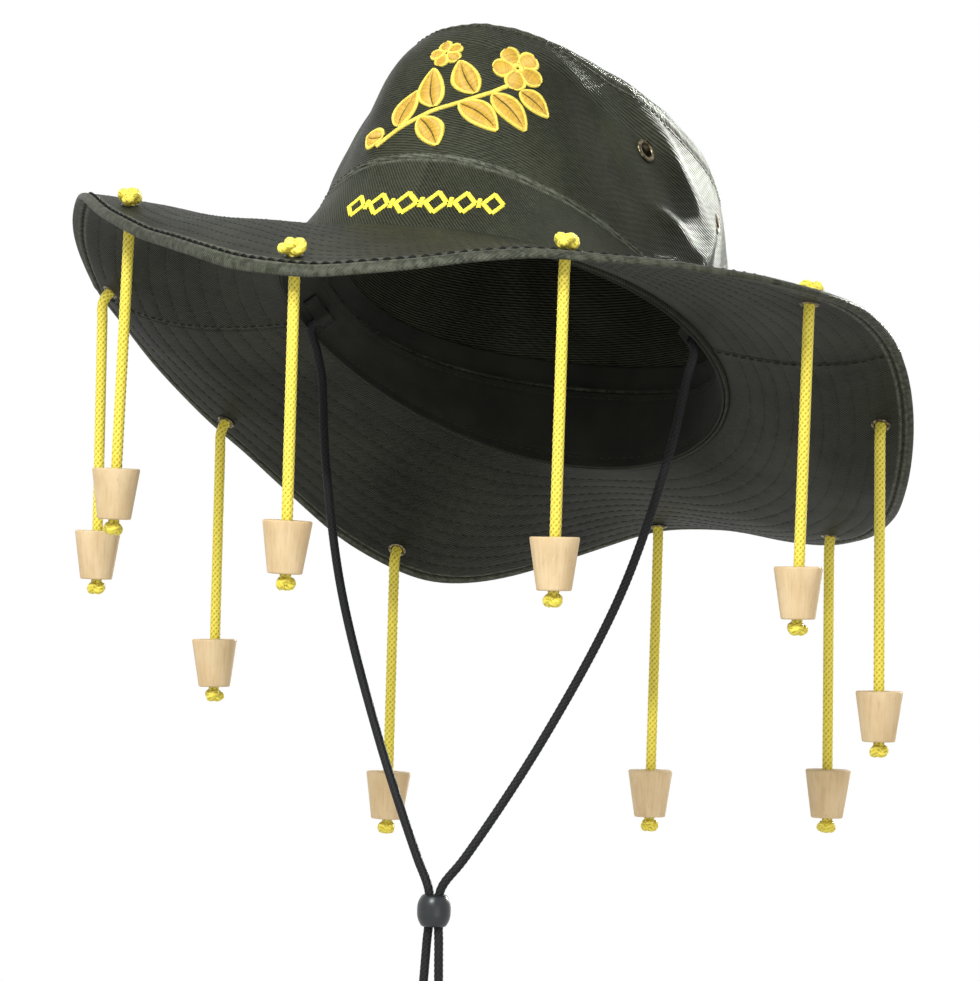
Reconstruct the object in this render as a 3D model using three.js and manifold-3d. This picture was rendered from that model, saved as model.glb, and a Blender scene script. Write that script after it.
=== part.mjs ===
// Bush hat with ten cork strings and a chin cord, in the form it has when worn.
// Millimetres, +Z up. The front of the hat faces -Y and the wearer's left is +X.
// The origin is the centre of the head opening. The cloth is modelled in its own
// level frame and then tipped back and sideways, and the strings hang straight down.
import * as THREE from "three";
import { mergeVertices } from "three/addons/utils/BufferGeometryUtils.js";
import Module from "manifold-3d";

const wasm = await Module();
wasm.setup();

// Driving dimensions
const TIP_BACK_DEG = 24;
const TIP_SIDE_DEG = 2.1;
const COLUMNS = 48;
const GAP = 0.3;
const BRIM_THICKNESS = 2.0;
const WALL_THICKNESS = 1.6;
const TIP_THICKNESS = 1.6;
const SWEATBAND = { height: 28, thickness: 1.0 };
const CORNER_SQUARENESS = 0.94;
const SLOPE_POWER = 1.6;

// Crown outline, one row for each level from the base seam up over the ridge into the top dent.
// halfWidth, front and back are the reach from the axis; z is the height at front, back and sides;
// narrowing is the share by which the front is narrower than the back.
const CROWN_LEVELS = [
  { halfWidth: 84.5, front: 101.0, back: 101.0, zFront: -2.5, zBack: -5.0, zSide: 3.7, narrowing: 0.00 },
  { halfWidth: 75.4, front: 94.8, back: 98.9, zFront: 28.2, zBack: 26.0, zSide: 16.0, narrowing: 0.05 },
  { halfWidth: 71.4, front: 92.7, back: 95.3, zFront: 56.0, zBack: 53.0, zSide: 41.4, narrowing: 0.06 },
  { halfWidth: 65.6, front: 90.6, back: 90.5, zFront: 77.6, zBack: 77.8, zSide: 65.0, narrowing: 0.07 },
  { halfWidth: 56.3, front: 84.7, back: 84.5, zFront: 89.2, zBack: 92.7, zSide: 84.8, narrowing: 0.14 },
  { halfWidth: 50.0, front: 77.3, back: 78.6, zFront: 90.6, zBack: 97.7, zSide: 93.3, narrowing: 0.15 },
  { halfWidth: 37.4, front: 60.8, back: 63.8, zFront: 84.6, zBack: 90.9, zSide: 87.0, narrowing: 0.13 },
  { halfWidth: 17.0, front: 38.0, back: 42.0, zFront: 78.0, zBack: 84.0, zSide: 77.0, narrowing: 0.08 },
];
const BAND_LEVEL = 1;
const SEAM_LEVEL = 4;
const CREASE_LEVEL = 7;
const CREASE_FLOOR_Z = 78;
const LEVEL_GAP = 0.012;
const LOWEST_NORMAL_LEVEL = 0.06;
const LEVEL_NUDGE = 0.05;
const SHARE_NUDGE = 0.02;

// Finger dents that pinch the front of the crown, the deeper one on the wearer's left
const DENTS = [
  { angle: 50, level: 2.8, angleSpread: 15, levelSpread: 0.9, depth: 4.0 },
  { angle: -42, level: 2.7, angleSpread: 11, levelSpread: 0.9, depth: 2.5 },
];

// Brim profile, one row every 30 degrees from the front round past the wearer's left:
// width along the cloth, and slope at the crown and at the edge, in degrees, up being positive.
const BRIM_SECTIONS = [
  { angle: 0, width: 90, startSlope: -34.5, endSlope: -37.5 },
  { angle: 30, width: 82.5, startSlope: -24, endSlope: -23.5 },
  { angle: 60, width: 85, startSlope: -12.5, endSlope: -4.5 },
  { angle: 90, width: 74, startSlope: -10.5, endSlope: 21 },
  { angle: 120, width: 74, startSlope: -23.5, endSlope: 10.5 },
  { angle: 150, width: 82.5, startSlope: -14, endSlope: 17 },
  { angle: 180, width: 86, startSlope: 1.5, endSlope: 18 },
  { angle: 210, width: 80.5, startSlope: -30, endSlope: -18 },
  { angle: 240, width: 82.5, startSlope: -20.5, endSlope: 8 },
  { angle: 270, width: 95, startSlope: -11, endSlope: 33 },
  { angle: 300, width: 79.5, startSlope: 13, endSlope: -4.5 },
  { angle: 330, width: 71, startSlope: -11.5, endSlope: -46 },
];
const BRIM_ROWS = 5;
const BRIM_STEPS = 12;

// Cork strings, one row each: place round the brim, free length from brim to cork,
// lean of the hanging cord and tilt of the cork on it, in degrees.
const STRINGS = [
  { angle: -2, drop: 90, lean: -0.1, corkTilt: 1.6 },
  { angle: 32, drop: 97, lean: -0.3, corkTilt: -1.2 },
  { angle: 68, drop: 93, lean: -0.6, corkTilt: -1.8 },
  { angle: 105.5, drop: 99, lean: 1.5, corkTilt: 0.8 },
  { angle: 147.5, drop: 90, lean: 1.3, corkTilt: 1.4 },
  { angle: 180, drop: 97, lean: -0.2, corkTilt: -1.0 },
  { angle: -145, drop: 89, lean: 0.0, corkTilt: 1.2 },
  { angle: -114.5, drop: 86, lean: 0.1, corkTilt: -1.4 },
  { angle: -87.5, drop: 93, lean: 0.4, corkTilt: 1.0 },
  { angle: -44.5, drop: 94, lean: -1.6, corkTilt: -0.8 },
];
const HOLE_INSET = 11;
const STRING_CORD = { radius: 2.05, sides: 8, step: 12, exit: 3.2, elbow: 1.6 };
const KNOT = { radius: 4.8, halfHeight: 3.1, sides: 6, rings: 3 };
const CORK = { topRadius: 8.9, bottomRadius: 6.3, height: 19, bore: 2.9, edge: 0.9, sides: 9 };

// Eyelets: a barrel through the cloth with a flange on the face that shows
const CUTTER_LENGTH = 14;
const BRIM_EYELET = { bore: 2.4, barrel: 2.75, flange: 4.2, cut: 3.15, lip: 0.45, clear: 0.75, sides: 8 };
const VENT_EYELET = { bore: 2.8, barrel: 3.2, flange: 4.6, cut: 3.65, lip: 0.5, clear: 0.5, sides: 10 };
const VENT_PLACES = [
  { name: "left_front", angle: 66, level: 2.85 },
  { name: "left_rear", angle: 104, level: 3.0 },
  { name: "right_front", angle: -66, level: 2.85 },
  { name: "right_rear", angle: -104, level: 3.0 },
];

// Chin cord: each leg starts on the inner face of the sweatband at both sides, then runs over
// the jaw and through the toggle to a free tail. CHIN_LEG is the leg on the wearer's left.
const CHIN_CORD = { radius: 1.7, sides: 8, step: 10, tailKnotRadius: 3.4, tailKnotHalf: 2.6 };
const TOGGLE_CENTRE = [0, -48, -214];
const TOGGLE = { radius: 6.3, height: 12, bore: 2.1, side: 2.05, sides: 12, boreSides: 10 };
const TOGGLE_BARREL = { endRadius: 0.72, shoulderRadius: 0.95, shoulderHeight: 0.55 };
const CHIN_START = { angle: 88, topLevel: 0.6, lowLevel: 0.12, clear: 0.55 };
const CHIN_LEG = [
  { x: 76.0, y: -1.0, z: -14 },
  { x: 71.0, y: -6.0, z: -45 },
  { x: 58.0, y: -16.0, z: -95 },
  { x: 34.0, y: -30.0, z: -150 },
  { x: 10.0, y: -43.4, z: -194 },
  { x: 3.4, y: -47.4, z: -204 },
];
const CHIN_TAIL = [
  { x: 2.4, y: -48.2, z: -225 },
  { x: 3.2, y: -48.8, z: -242 },
  { x: 4.6, y: -49.4, z: -260 },
];

// Materials
const material = (color, roughness, metalness = 0) =>
  new THREE.MeshStandardMaterial({ color, roughness, metalness });
const CLOTH_DARK = 0x3f413b;
const CLOTH_INNER = 0x34362f;
const CORD_YELLOW = 0xe8dc50;
const CORD_BLACK = 0x202224;
const CORK_TAN = 0xd8b98c;
const BRASS_OLD = 0x8a7c5c;
const PLASTIC_DARK = 0x2e3234;

// Reading values between the rows of a table
function catmullRom(before, start, end, after, f) {
  const linear = end - before;
  const square = 2 * before - 5 * start + 4 * end - after;
  const cube = 3 * start - before - 3 * end + after;
  return 0.5 * (2 * start + linear * f + square * f * f + cube * f * f * f);
}

function readAround(table, column, angle) {
  const step = 360 / table.length;
  const place = THREE.MathUtils.euclideanModulo(angle, 360) / step;
  const first = Math.floor(place);
  const value = (k) => table[(first + k + table.length) % table.length][column];
  return catmullRom(value(-1), value(0), value(1), value(2), place - first);
}

function readAlong(table, column, level) {
  const last = table.length - 1;
  const first = Math.min(Math.max(Math.floor(level), 0), last - 1);
  const value = (k) => {
    const row = first + k;
    if (row < 0) return 2 * table[0][column] - table[1][column];
    if (row > last) return 2 * table[last][column] - table[last - 1][column];
    return table[row][column];
  };
  return catmullRom(value(-1), value(0), value(1), value(2), level - first);
}

// Point on the outside of the crown at an angle (degrees, 0 is the front) and a level of the table
function smoothCrownPoint(angle, level) {
  const at = (column) => readAlong(CROWN_LEVELS, column, Math.max(level, 0));
  const radians = THREE.MathUtils.degToRad(angle);
  const cos = Math.cos(radians);
  const sin = Math.sin(radians);
  const squareSin = Math.sign(sin) * Math.abs(sin) ** CORNER_SQUARENESS;
  const squareCos = Math.sign(cos) * Math.abs(cos) ** CORNER_SQUARENESS;
  const middle = (at("zFront") + at("zBack")) / 2;
  const saddle = (middle - at("zSide")) / 2;
  const fall = (at("zFront") - at("zBack")) / 2;
  return new THREE.Vector3(
    at("halfWidth") * squareSin * (1 - at("narrowing") * cos),
    -squareCos * (cos > 0 ? at("front") : at("back")),
    middle - saddle + fall * cos + saddle * Math.cos(2 * radians),
  );
}

function dentDepth(angle, level) {
  let depth = 0;
  for (const dent of DENTS) {
    const turn = THREE.MathUtils.euclideanModulo(angle - dent.angle + 180, 360) - 180;
    const along = (level - dent.level) / dent.levelSpread;
    depth += dent.depth * Math.exp(-((turn / dent.angleSpread) ** 2) - along * along);
  }
  return depth;
}

function crownPoint(angle, level) {
  const point = smoothCrownPoint(angle, level);
  const radial = new THREE.Vector3(point.x, point.y, 0).normalize();
  point.addScaledVector(radial, -dentDepth(angle, level));
  // Below the base seam the wall runs straight down for one brim thickness
  if (level < 0) point.z += level * BRIM_THICKNESS;
  return point;
}

// Point on the top face of the brim, at a share of its width from the crown to the edge
function brimPoint(angle, share) {
  const base = smoothCrownPoint(angle, 0);
  const ahead = smoothCrownPoint(angle + 1, 0);
  const behind = smoothCrownPoint(angle - 1, 0);
  const outward = new THREE.Vector3(ahead.y - behind.y, behind.x - ahead.x, 0).normalize();
  const width = readAround(BRIM_SECTIONS, "width", angle);
  const startSlope = readAround(BRIM_SECTIONS, "startSlope", angle);
  const endSlope = readAround(BRIM_SECTIONS, "endSlope", angle);
  const piece = (width * share) / BRIM_STEPS;
  for (let i = 0; i < BRIM_STEPS; i += 1) {
    const along = ((i + 0.5) / BRIM_STEPS) * share;
    const degrees = startSlope + (endSlope - startSlope) * along ** SLOPE_POWER;
    const slope = THREE.MathUtils.degToRad(degrees);
    base.addScaledVector(outward, piece * Math.cos(slope));
    base.z += piece * Math.sin(slope);
  }
  return base;
}

// Unit normal of a surface given as a function of an angle and a row value
function surfaceNormal(pointAt, angle, row, rowStep) {
  const around = pointAt(angle + 1, row).sub(pointAt(angle - 1, row));
  const along = pointAt(angle, row + rowStep).sub(pointAt(angle, row - rowStep));
  return around.cross(along).normalize();
}

// Upward unit normal of the brim; its rows run outward, so the plain cross product points down
function brimUp(angle, share) {
  const inside = Math.min(Math.max(share, SHARE_NUDGE), 1 - SHARE_NUDGE);
  return surfaceNormal(brimPoint, angle, inside, SHARE_NUDGE).negate();
}

// Closed mesh from a grid of outer points and a grid of inner points, both rows of COLUMNS points.
// Without a centre the rows end in an edge; with one they close over it.
function closedSheet(outerRows, innerRows, centre) {
  const rows = outerRows.length;
  const positions = [...outerRows.flat(), ...innerRows.flat()];
  const index = [];
  const outer = (row, column) => row * COLUMNS + (column % COLUMNS);
  const inner = (row, column) => (rows + row) * COLUMNS + (column % COLUMNS);
  const quad = (a, b, c, d) => index.push(a, b, c, a, c, d);
  for (let column = 0; column < COLUMNS; column += 1) {
    const next = column + 1;
    for (let row = 0; row < rows - 1; row += 1) {
      quad(outer(row, column), outer(row, next), outer(row + 1, next), outer(row + 1, column));
      quad(inner(row, column), inner(row + 1, column), inner(row + 1, next), inner(row, next));
    }
    quad(inner(0, column), inner(0, next), outer(0, next), outer(0, column));
    if (centre) {
      index.push(outer(rows - 1, column), outer(rows - 1, next), positions.length);
      index.push(inner(rows - 1, next), inner(rows - 1, column), positions.length + 1);
    } else {
      quad(outer(rows - 1, column), outer(rows - 1, next), inner(rows - 1, next), inner(rows - 1, column));
    }
  }
  if (centre) positions.push(centre.outer, centre.inner);
  const geometry = new THREE.BufferGeometry().setFromPoints(positions);
  geometry.setIndex(index);
  geometry.computeVertexNormals();
  return geometry;
}

function columnAngles() {
  return Array.from({ length: COLUMNS }, (_, i) => (360 * i) / COLUMNS);
}

// Ring-shaped cloth of the crown between levels, from an outer depth to an inner depth below its face
function crownStrip(levels, depth, thickness, centreZ) {
  const layer = (below) => levels.map((level) => columnAngles().map((angle) => {
    const normal = surfaceNormal(crownPoint, angle, Math.max(level, LOWEST_NORMAL_LEVEL), LEVEL_NUDGE);
    return crownPoint(angle, level).addScaledVector(normal, -below);
  }));
  const centre = centreZ === undefined ? null : {
    outer: new THREE.Vector3(0, 0, centreZ),
    inner: new THREE.Vector3(0, 0, centreZ - thickness),
  };
  return closedSheet(layer(depth), layer(depth + thickness), centre);
}

// Brim cloth, with a plumb inner edge beside the crown
function brimSheet() {
  const top = [];
  const under = [];
  for (let row = 0; row <= BRIM_ROWS; row += 1) {
    top.push([]);
    under.push([]);
    for (const angle of columnAngles()) {
      const width = readAround(BRIM_SECTIONS, "width", angle);
      const share = Math.max(row / BRIM_ROWS, GAP / width);
      const point = brimPoint(angle, share);
      const up = row === 0 ? new THREE.Vector3(0, 0, 1) : brimUp(angle, share);
      top[row].push(point);
      under[row].push(point.clone().addScaledVector(up, -BRIM_THICKNESS));
    }
  }
  return closedSheet(under, top, null);
}

// Solids that can be cut and joined
function toSolid(geometry, matrix) {
  const bare = geometry.clone();
  bare.deleteAttribute("normal");
  if (bare.attributes.uv) bare.deleteAttribute("uv");
  const merged = mergeVertices(bare, 1e-3);
  if (matrix) merged.applyMatrix4(matrix);
  return new wasm.Manifold(new wasm.Mesh({
    numProp: 3,
    vertProperties: new Float32Array(merged.attributes.position.array),
    triVerts: new Uint32Array(merged.index.array),
  }));
}

function toGeometry(solid) {
  const mesh = solid.getMesh();
  const geometry = new THREE.BufferGeometry();
  geometry.setAttribute("position", new THREE.BufferAttribute(mesh.vertProperties, 3));
  geometry.setIndex(new THREE.BufferAttribute(mesh.triVerts, 1));
  geometry.computeVertexNormals();
  return geometry;
}

// Place with its Z axis along a direction
function placement(point, direction) {
  const turn = new THREE.Quaternion().setFromUnitVectors(new THREE.Vector3(0, 0, 1), direction);
  return new THREE.Matrix4().compose(point, turn, new THREE.Vector3(1, 1, 1));
}

// Round bar along Z, centred on its middle
function roundBar(radius, length, sides) {
  return new THREE.CylinderGeometry(radius, radius, length, sides).rotateX(Math.PI / 2);
}

// Solid of revolution about Z from a closed profile of radius and height pairs
function turned(profile, sides) {
  const points = [...profile, profile[0]].map(([radius, z]) => new THREE.Vector2(radius, z));
  return new THREE.LatheGeometry(points, sides).rotateX(Math.PI / 2);
}

// Eyelet about Z whose flange lies under the cloth's lower face
function eyeletGeometry(size, cloth) {
  const inside = cloth / 2 + size.clear;
  return turned([
    [size.bore, -inside - size.lip],
    [size.flange, -inside - size.lip],
    [size.flange, -inside],
    [size.barrel, -inside],
    [size.barrel, cloth / 2],
    [size.bore, cloth / 2],
  ], size.sides);
}

// Tube on a smooth curve through points, with one cross-section at each point
function tubeThrough(points, radius, sides) {
  const section = new THREE.Shape();
  for (let i = 0; i < sides; i += 1) {
    const angle = (2 * Math.PI * i) / sides;
    section[i === 0 ? "moveTo" : "lineTo"](radius * Math.cos(angle), radius * Math.sin(angle));
  }
  section.closePath();
  const extrudePath = new THREE.CatmullRomCurve3(points, false, "centripetal");
  extrudePath.getUtoTmapping = (share) => share;
  return new THREE.ExtrudeGeometry(section, { steps: points.length - 1, extrudePath });
}

// Points evenly spaced from one point to another, the last one included
function evenly(from, to, step) {
  const count = Math.ceil(from.distanceTo(to) / step);
  return Array.from({ length: count }, (_, i) => from.clone().lerp(to, (i + 1) / count));
}

function knotGeometry(radius, halfHeight) {
  const ball = new THREE.SphereGeometry(radius, KNOT.sides, KNOT.rings).rotateX(Math.PI / 2);
  return ball.scale(1, 1, halfHeight / radius);
}

// Assembly
const part = new THREE.Group();
const cloth = new THREE.Group();
cloth.rotation.set(
  -THREE.MathUtils.degToRad(TIP_BACK_DEG),
  THREE.MathUtils.degToRad(TIP_SIDE_DEG),
  0,
  "YXZ",
);
cloth.updateMatrixWorld(true);
part.add(cloth);

function addPiece(group, name, geometry, look) {
  const mesh = new THREE.Mesh(geometry, look);
  mesh.name = name;
  group.add(mesh);
  return mesh;
}

// Crown pieces
const bandTop = BAND_LEVEL - LEVEL_GAP;
const wallLevels = [BAND_LEVEL, 1.75, 2.5, 3.25, SEAM_LEVEL];
wallLevels[0] += LEVEL_GAP;
wallLevels[wallLevels.length - 1] -= LEVEL_GAP;
addPiece(cloth, "crown_band", crownStrip([-1, 0, bandTop], 0, WALL_THICKNESS), material(CLOTH_DARK, 0.72));
let wall = toSolid(crownStrip(wallLevels, 0, WALL_THICKNESS));
const tipLevels = [SEAM_LEVEL + 3 * LEVEL_GAP, SEAM_LEVEL + 1, SEAM_LEVEL + 2, CREASE_LEVEL];
const tip = crownStrip(tipLevels, 0, TIP_THICKNESS, CREASE_FLOOR_Z);
addPiece(cloth, "crown_tip", tip, material(CLOTH_DARK, 0.62));

const sweatbandTop = SWEATBAND.height / (CROWN_LEVELS[1].zFront - CROWN_LEVELS[0].zFront);
const sweatbandLevels = [-1, sweatbandTop];
const sweatbandDepth = WALL_THICKNESS + GAP;
const sweatband = crownStrip(sweatbandLevels, sweatbandDepth, SWEATBAND.thickness);
addPiece(cloth, "sweatband", sweatband, material(CLOTH_INNER, 0.8));

for (const vent of VENT_PLACES) {
  const outside = crownPoint(vent.angle, vent.level);
  const normal = surfaceNormal(crownPoint, vent.angle, vent.level, LEVEL_NUDGE);
  const middle = outside.addScaledVector(normal, -WALL_THICKNESS / 2);
  const place = placement(middle, normal);
  wall = wall.subtract(toSolid(roundBar(VENT_EYELET.cut, CUTTER_LENGTH, VENT_EYELET.sides), place));
  const inward = placement(middle, normal.clone().negate());
  const eyelet = eyeletGeometry(VENT_EYELET, WALL_THICKNESS).applyMatrix4(inward);
  addPiece(cloth, `vent_eyelet_${vent.name}`, eyelet, material(BRASS_OLD, 0.4, 0.9));
}
addPiece(cloth, "crown_wall", toGeometry(wall), material(CLOTH_DARK, 0.72));

// Brim, its string holes and their eyelets
let brim = toSolid(brimSheet());

function stringPlace(row) {
  const width = readAround(BRIM_SECTIONS, "width", row.angle);
  const share = 1 - HOLE_INSET / width;
  const normal = brimUp(row.angle, share);
  const middle = brimPoint(row.angle, share).addScaledVector(normal, -BRIM_THICKNESS / 2);
  return { middle, normal };
}

// Centreline of one string: out of its top knot along the eyelet, round a small bend and down
function stringRoute(row, middle, normal) {
  const lean = THREE.MathUtils.degToRad(row.lean);
  const down = new THREE.Vector3(Math.sin(lean), 0, -Math.cos(lean));
  const along = (point, direction, distance) => point.clone().addScaledVector(direction, distance);
  const half = BRIM_THICKNESS / 2;
  const start = along(middle, normal, half + GAP + KNOT.halfHeight);
  const exit = along(middle, normal, -half - STRING_CORD.exit);
  const elbow = along(along(exit, normal, -STRING_CORD.elbow), down, STRING_CORD.elbow);
  const hang = along(elbow, down, STRING_CORD.step / 2);
  const bentLength = STRING_CORD.exit + STRING_CORD.elbow + hang.distanceTo(elbow);
  const corkTop = along(hang, down, row.drop - bentLength);
  const corkMiddle = along(corkTop, down, CORK.height / 2);
  const end = along(corkTop, down, CORK.height + GAP + KNOT.halfHeight);
  const points = [start, middle, exit, elbow, hang, ...evenly(hang, end, STRING_CORD.step)];
  return { points, start, corkMiddle, end, down };
}

STRINGS.forEach((row, i) => {
  const number = i + 1;
  const { middle, normal } = stringPlace(row);
  const place = placement(middle, normal);
  brim = brim.subtract(toSolid(roundBar(BRIM_EYELET.cut, CUTTER_LENGTH, BRIM_EYELET.sides), place));
  const eyelet = eyeletGeometry(BRIM_EYELET, BRIM_THICKNESS).applyMatrix4(place);
  addPiece(cloth, `brim_eyelet_${number}`, eyelet, material(BRASS_OLD, 0.4, 0.9));

  const wornMiddle = cloth.localToWorld(middle.clone());
  const wornNormal = normal.clone().transformDirection(cloth.matrixWorld);
  const route = stringRoute(row, wornMiddle, wornNormal);
  const tube = tubeThrough(route.points, STRING_CORD.radius, STRING_CORD.sides);
  const topKnot = knotGeometry(KNOT.radius, KNOT.halfHeight)
    .applyMatrix4(placement(route.start, wornNormal));
  const bottomKnot = knotGeometry(KNOT.radius, KNOT.halfHeight)
    .applyMatrix4(placement(route.end, route.down.clone().negate()));
  const string = toSolid(tube).add(toSolid(topKnot)).add(toSolid(bottomKnot));
  addPiece(part, `string_${number}`, toGeometry(string), material(CORD_YELLOW, 0.75));

  const half = CORK.height / 2;
  const cork = turned([
    [CORK.bore, -half],
    [CORK.bottomRadius - CORK.edge, -half],
    [CORK.bottomRadius, -half + CORK.edge],
    [CORK.topRadius, half - CORK.edge],
    [CORK.topRadius - CORK.edge, half],
    [CORK.bore, half],
  ], CORK.sides);
  const tilt = new THREE.Vector3(0, 1, 0);
  const up = route.down.clone().negate().applyAxisAngle(tilt, THREE.MathUtils.degToRad(row.corkTilt));
  cork.applyMatrix4(placement(route.corkMiddle, up));
  addPiece(part, `cork_${number}`, cork, material(CORK_TAN, 0.8));
});
addPiece(cloth, "brim", toGeometry(brim), material(CLOTH_DARK, 0.72));

// Chin cord legs and the toggle that slides on them
const toggleCentre = new THREE.Vector3(...TOGGLE_CENTRE);
const toggleHalf = TOGGLE.height / 2;
const toggleEnd = TOGGLE.radius * TOGGLE_BARREL.endRadius;
const toggleShoulder = TOGGLE.radius * TOGGLE_BARREL.shoulderRadius;
const shoulderHeight = toggleHalf * TOGGLE_BARREL.shoulderHeight;
let toggle = toSolid(turned([
  [0, -toggleHalf],
  [toggleEnd, -toggleHalf],
  [toggleShoulder, -shoulderHeight],
  [TOGGLE.radius, 0],
  [toggleShoulder, shoulderHeight],
  [toggleEnd, toggleHalf],
  [0, toggleHalf],
], TOGGLE.sides));

function chinStartPoint(side, level) {
  const angle = side * CHIN_START.angle;
  const normal = surfaceNormal(crownPoint, angle, level, LEVEL_NUDGE);
  const cover = sweatbandDepth + SWEATBAND.thickness + CHIN_START.clear + CHIN_CORD.radius;
  return cloth.localToWorld(crownPoint(angle, level).addScaledVector(normal, -cover));
}

for (const side of [-1, 1]) {
  const bore = roundBar(TOGGLE.bore, TOGGLE.height * 2, TOGGLE.boreSides).translate(side * TOGGLE.side, 0, 0);
  toggle = toggle.subtract(toSolid(bore));
  const start = [CHIN_START.topLevel, CHIN_START.lowLevel].map((level) => chinStartPoint(side, level));
  const mirrored = ({ x, y, z }) => new THREE.Vector3(side * x, y, z);
  const boreEnd = (end) => new THREE.Vector3(side * TOGGLE.side, 0, end * toggleHalf);
  const inBore = [boreEnd(1), boreEnd(-1)].map((point) => point.add(toggleCentre));
  const smooth = new THREE.CatmullRomCurve3([...start, ...CHIN_LEG.map(mirrored)], false, "centripetal");
  const leg = smooth.getSpacedPoints(Math.round(smooth.getLength() / CHIN_CORD.step));
  const points = [...leg, ...inBore, ...CHIN_TAIL.map(mirrored)];
  const tube = tubeThrough(points, CHIN_CORD.radius, CHIN_CORD.sides);
  const knotPlace = placement(points[points.length - 1], new THREE.Vector3(0, 0, 1));
  const tailKnot = knotGeometry(CHIN_CORD.tailKnotRadius, CHIN_CORD.tailKnotHalf).applyMatrix4(knotPlace);
  const cord = toSolid(tube).add(toSolid(tailKnot));
  const name = side > 0 ? "chin_cord_left" : "chin_cord_right";
  addPiece(part, name, toGeometry(cord), material(CORD_BLACK, 0.7));
}
const toggleMesh = addPiece(part, "chin_toggle", toGeometry(toggle), material(PLASTIC_DARK, 0.5));
toggleMesh.position.copy(toggleCentre);

export default part;
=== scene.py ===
# Bush hat with ten cork strings and a chin cord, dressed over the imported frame.
# The frame is in metres, +Z up, with the front of the hat towards -Y and the wearer's left towards +X.
import math

import bmesh
import bpy
import numpy as np
from mathutils import Matrix, Vector


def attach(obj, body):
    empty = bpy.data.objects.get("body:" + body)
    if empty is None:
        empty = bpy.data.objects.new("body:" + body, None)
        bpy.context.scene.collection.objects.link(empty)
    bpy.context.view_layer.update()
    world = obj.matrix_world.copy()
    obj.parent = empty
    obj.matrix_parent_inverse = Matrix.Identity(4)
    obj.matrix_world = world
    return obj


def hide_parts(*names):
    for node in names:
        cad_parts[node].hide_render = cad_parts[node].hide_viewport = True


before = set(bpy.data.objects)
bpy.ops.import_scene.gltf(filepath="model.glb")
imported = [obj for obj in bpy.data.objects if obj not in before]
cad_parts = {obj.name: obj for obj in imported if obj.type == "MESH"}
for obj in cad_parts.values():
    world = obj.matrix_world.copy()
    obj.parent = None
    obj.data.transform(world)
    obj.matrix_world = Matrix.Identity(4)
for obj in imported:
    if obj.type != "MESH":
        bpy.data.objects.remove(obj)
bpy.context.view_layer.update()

# Driving dimensions of the cloth, the cords and the corks, in millimetres and degrees
MM = 0.001
TIP_BACK_DEG = 24
TIP_SIDE_DEG = 2.1
BRIM_THICKNESS = 2.0
WALL_THICKNESS = 1.6
TIP_THICKNESS = 1.6
SWEATBAND_HEIGHT = 28
FIRST_LEVEL_RISE = 30.5
SWEATBAND_TOP_LEVEL = SWEATBAND_HEIGHT / FIRST_LEVEL_RISE
SWEATBAND_THICKNESS = 1.0
SWEATBAND_GAP = 0.3
CORNER_SQUARENESS = 0.94
SLOPE_POWER = 1.6
HOLE_INSET = 11

# Crown outline, one row for each level: half width, front, back, height at front, back and sides, narrowing
CROWN_COLUMNS = ("half_width", "front", "back", "z_front", "z_back", "z_side", "narrowing")
CROWN_LEVELS = np.array([
    [84.5, 101.0, 101.0, -2.5, -5.0, 3.7, 0.00],
    [75.4, 94.8, 98.9, 28.2, 26.0, 16.0, 0.05],
    [71.4, 92.7, 95.3, 56.0, 53.0, 41.4, 0.06],
    [65.6, 90.6, 90.5, 77.6, 77.8, 65.0, 0.07],
    [56.3, 84.7, 84.5, 89.2, 92.7, 84.8, 0.14],
    [50.0, 77.3, 78.6, 90.6, 97.7, 93.3, 0.15],
    [37.4, 60.8, 63.8, 84.6, 90.9, 87.0, 0.13],
    [17.0, 38.0, 42.0, 78.0, 84.0, 77.0, 0.08],
])
BAND_LEVEL = 1
SEAM_LEVEL = 4
CREASE_LEVEL = 7
CREASE_FLOOR_Z = 78

# Finger dents in the front of the crown: angle, level, spread in angle and level, depth
DENTS = [(50, 2.8, 15, 0.9, 4.0), (-42, 2.7, 11, 0.9, 2.5)]

# Brim profile every 30 degrees from the front round past the wearer's left: width, start and end slope
BRIM_SECTIONS = np.array([
    [90, -34.5, -37.5], [82.5, -24, -23.5], [85, -12.5, -4.5],
    [74, -10.5, 21], [74, -23.5, 10.5], [82.5, -14, 17],
    [86, 1.5, 18], [80.5, -30, -18], [82.5, -20.5, 8],
    [95, -11, 33], [79.5, 13, -4.5], [71, -11.5, -46],
], dtype=float)
BRIM_STEPS = 12

# Cork strings: place round the brim, free length, lean of the cord and tilt of the cork
STRINGS = [
    (-2, 90, -0.1, 1.6), (32, 97, -0.3, -1.2), (68, 93, -0.6, -1.8), (105.5, 99, 1.5, 0.8),
    (147.5, 90, 1.3, 1.4), (180, 97, -0.2, -1.0), (-145, 89, 0.0, 1.2), (-114.5, 86, 0.1, -1.4),
    (-87.5, 93, 0.4, 1.0), (-44.5, 94, -1.6, -0.8),
]
STRING_RADIUS = 2.05
STRING_STEP = 12
STRING_EXIT = 3.2
STRING_ELBOW = 1.6
KNOT_HALF_HEIGHT = 3.1
KNOT_GAP = 0.3
CORK_HEIGHT = 19
CORK_TOP_RADIUS = 8.9
CORK_BOTTOM_RADIUS = 6.3
CORK_BORE = 2.9

# Vent eyelets in the crown wall: name, angle and level
VENT_PLACES = [
    ("left_front", 66, 2.85), ("left_rear", 104, 3.0),
    ("right_front", -66, 2.85), ("right_rear", -104, 3.0),
]

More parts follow.
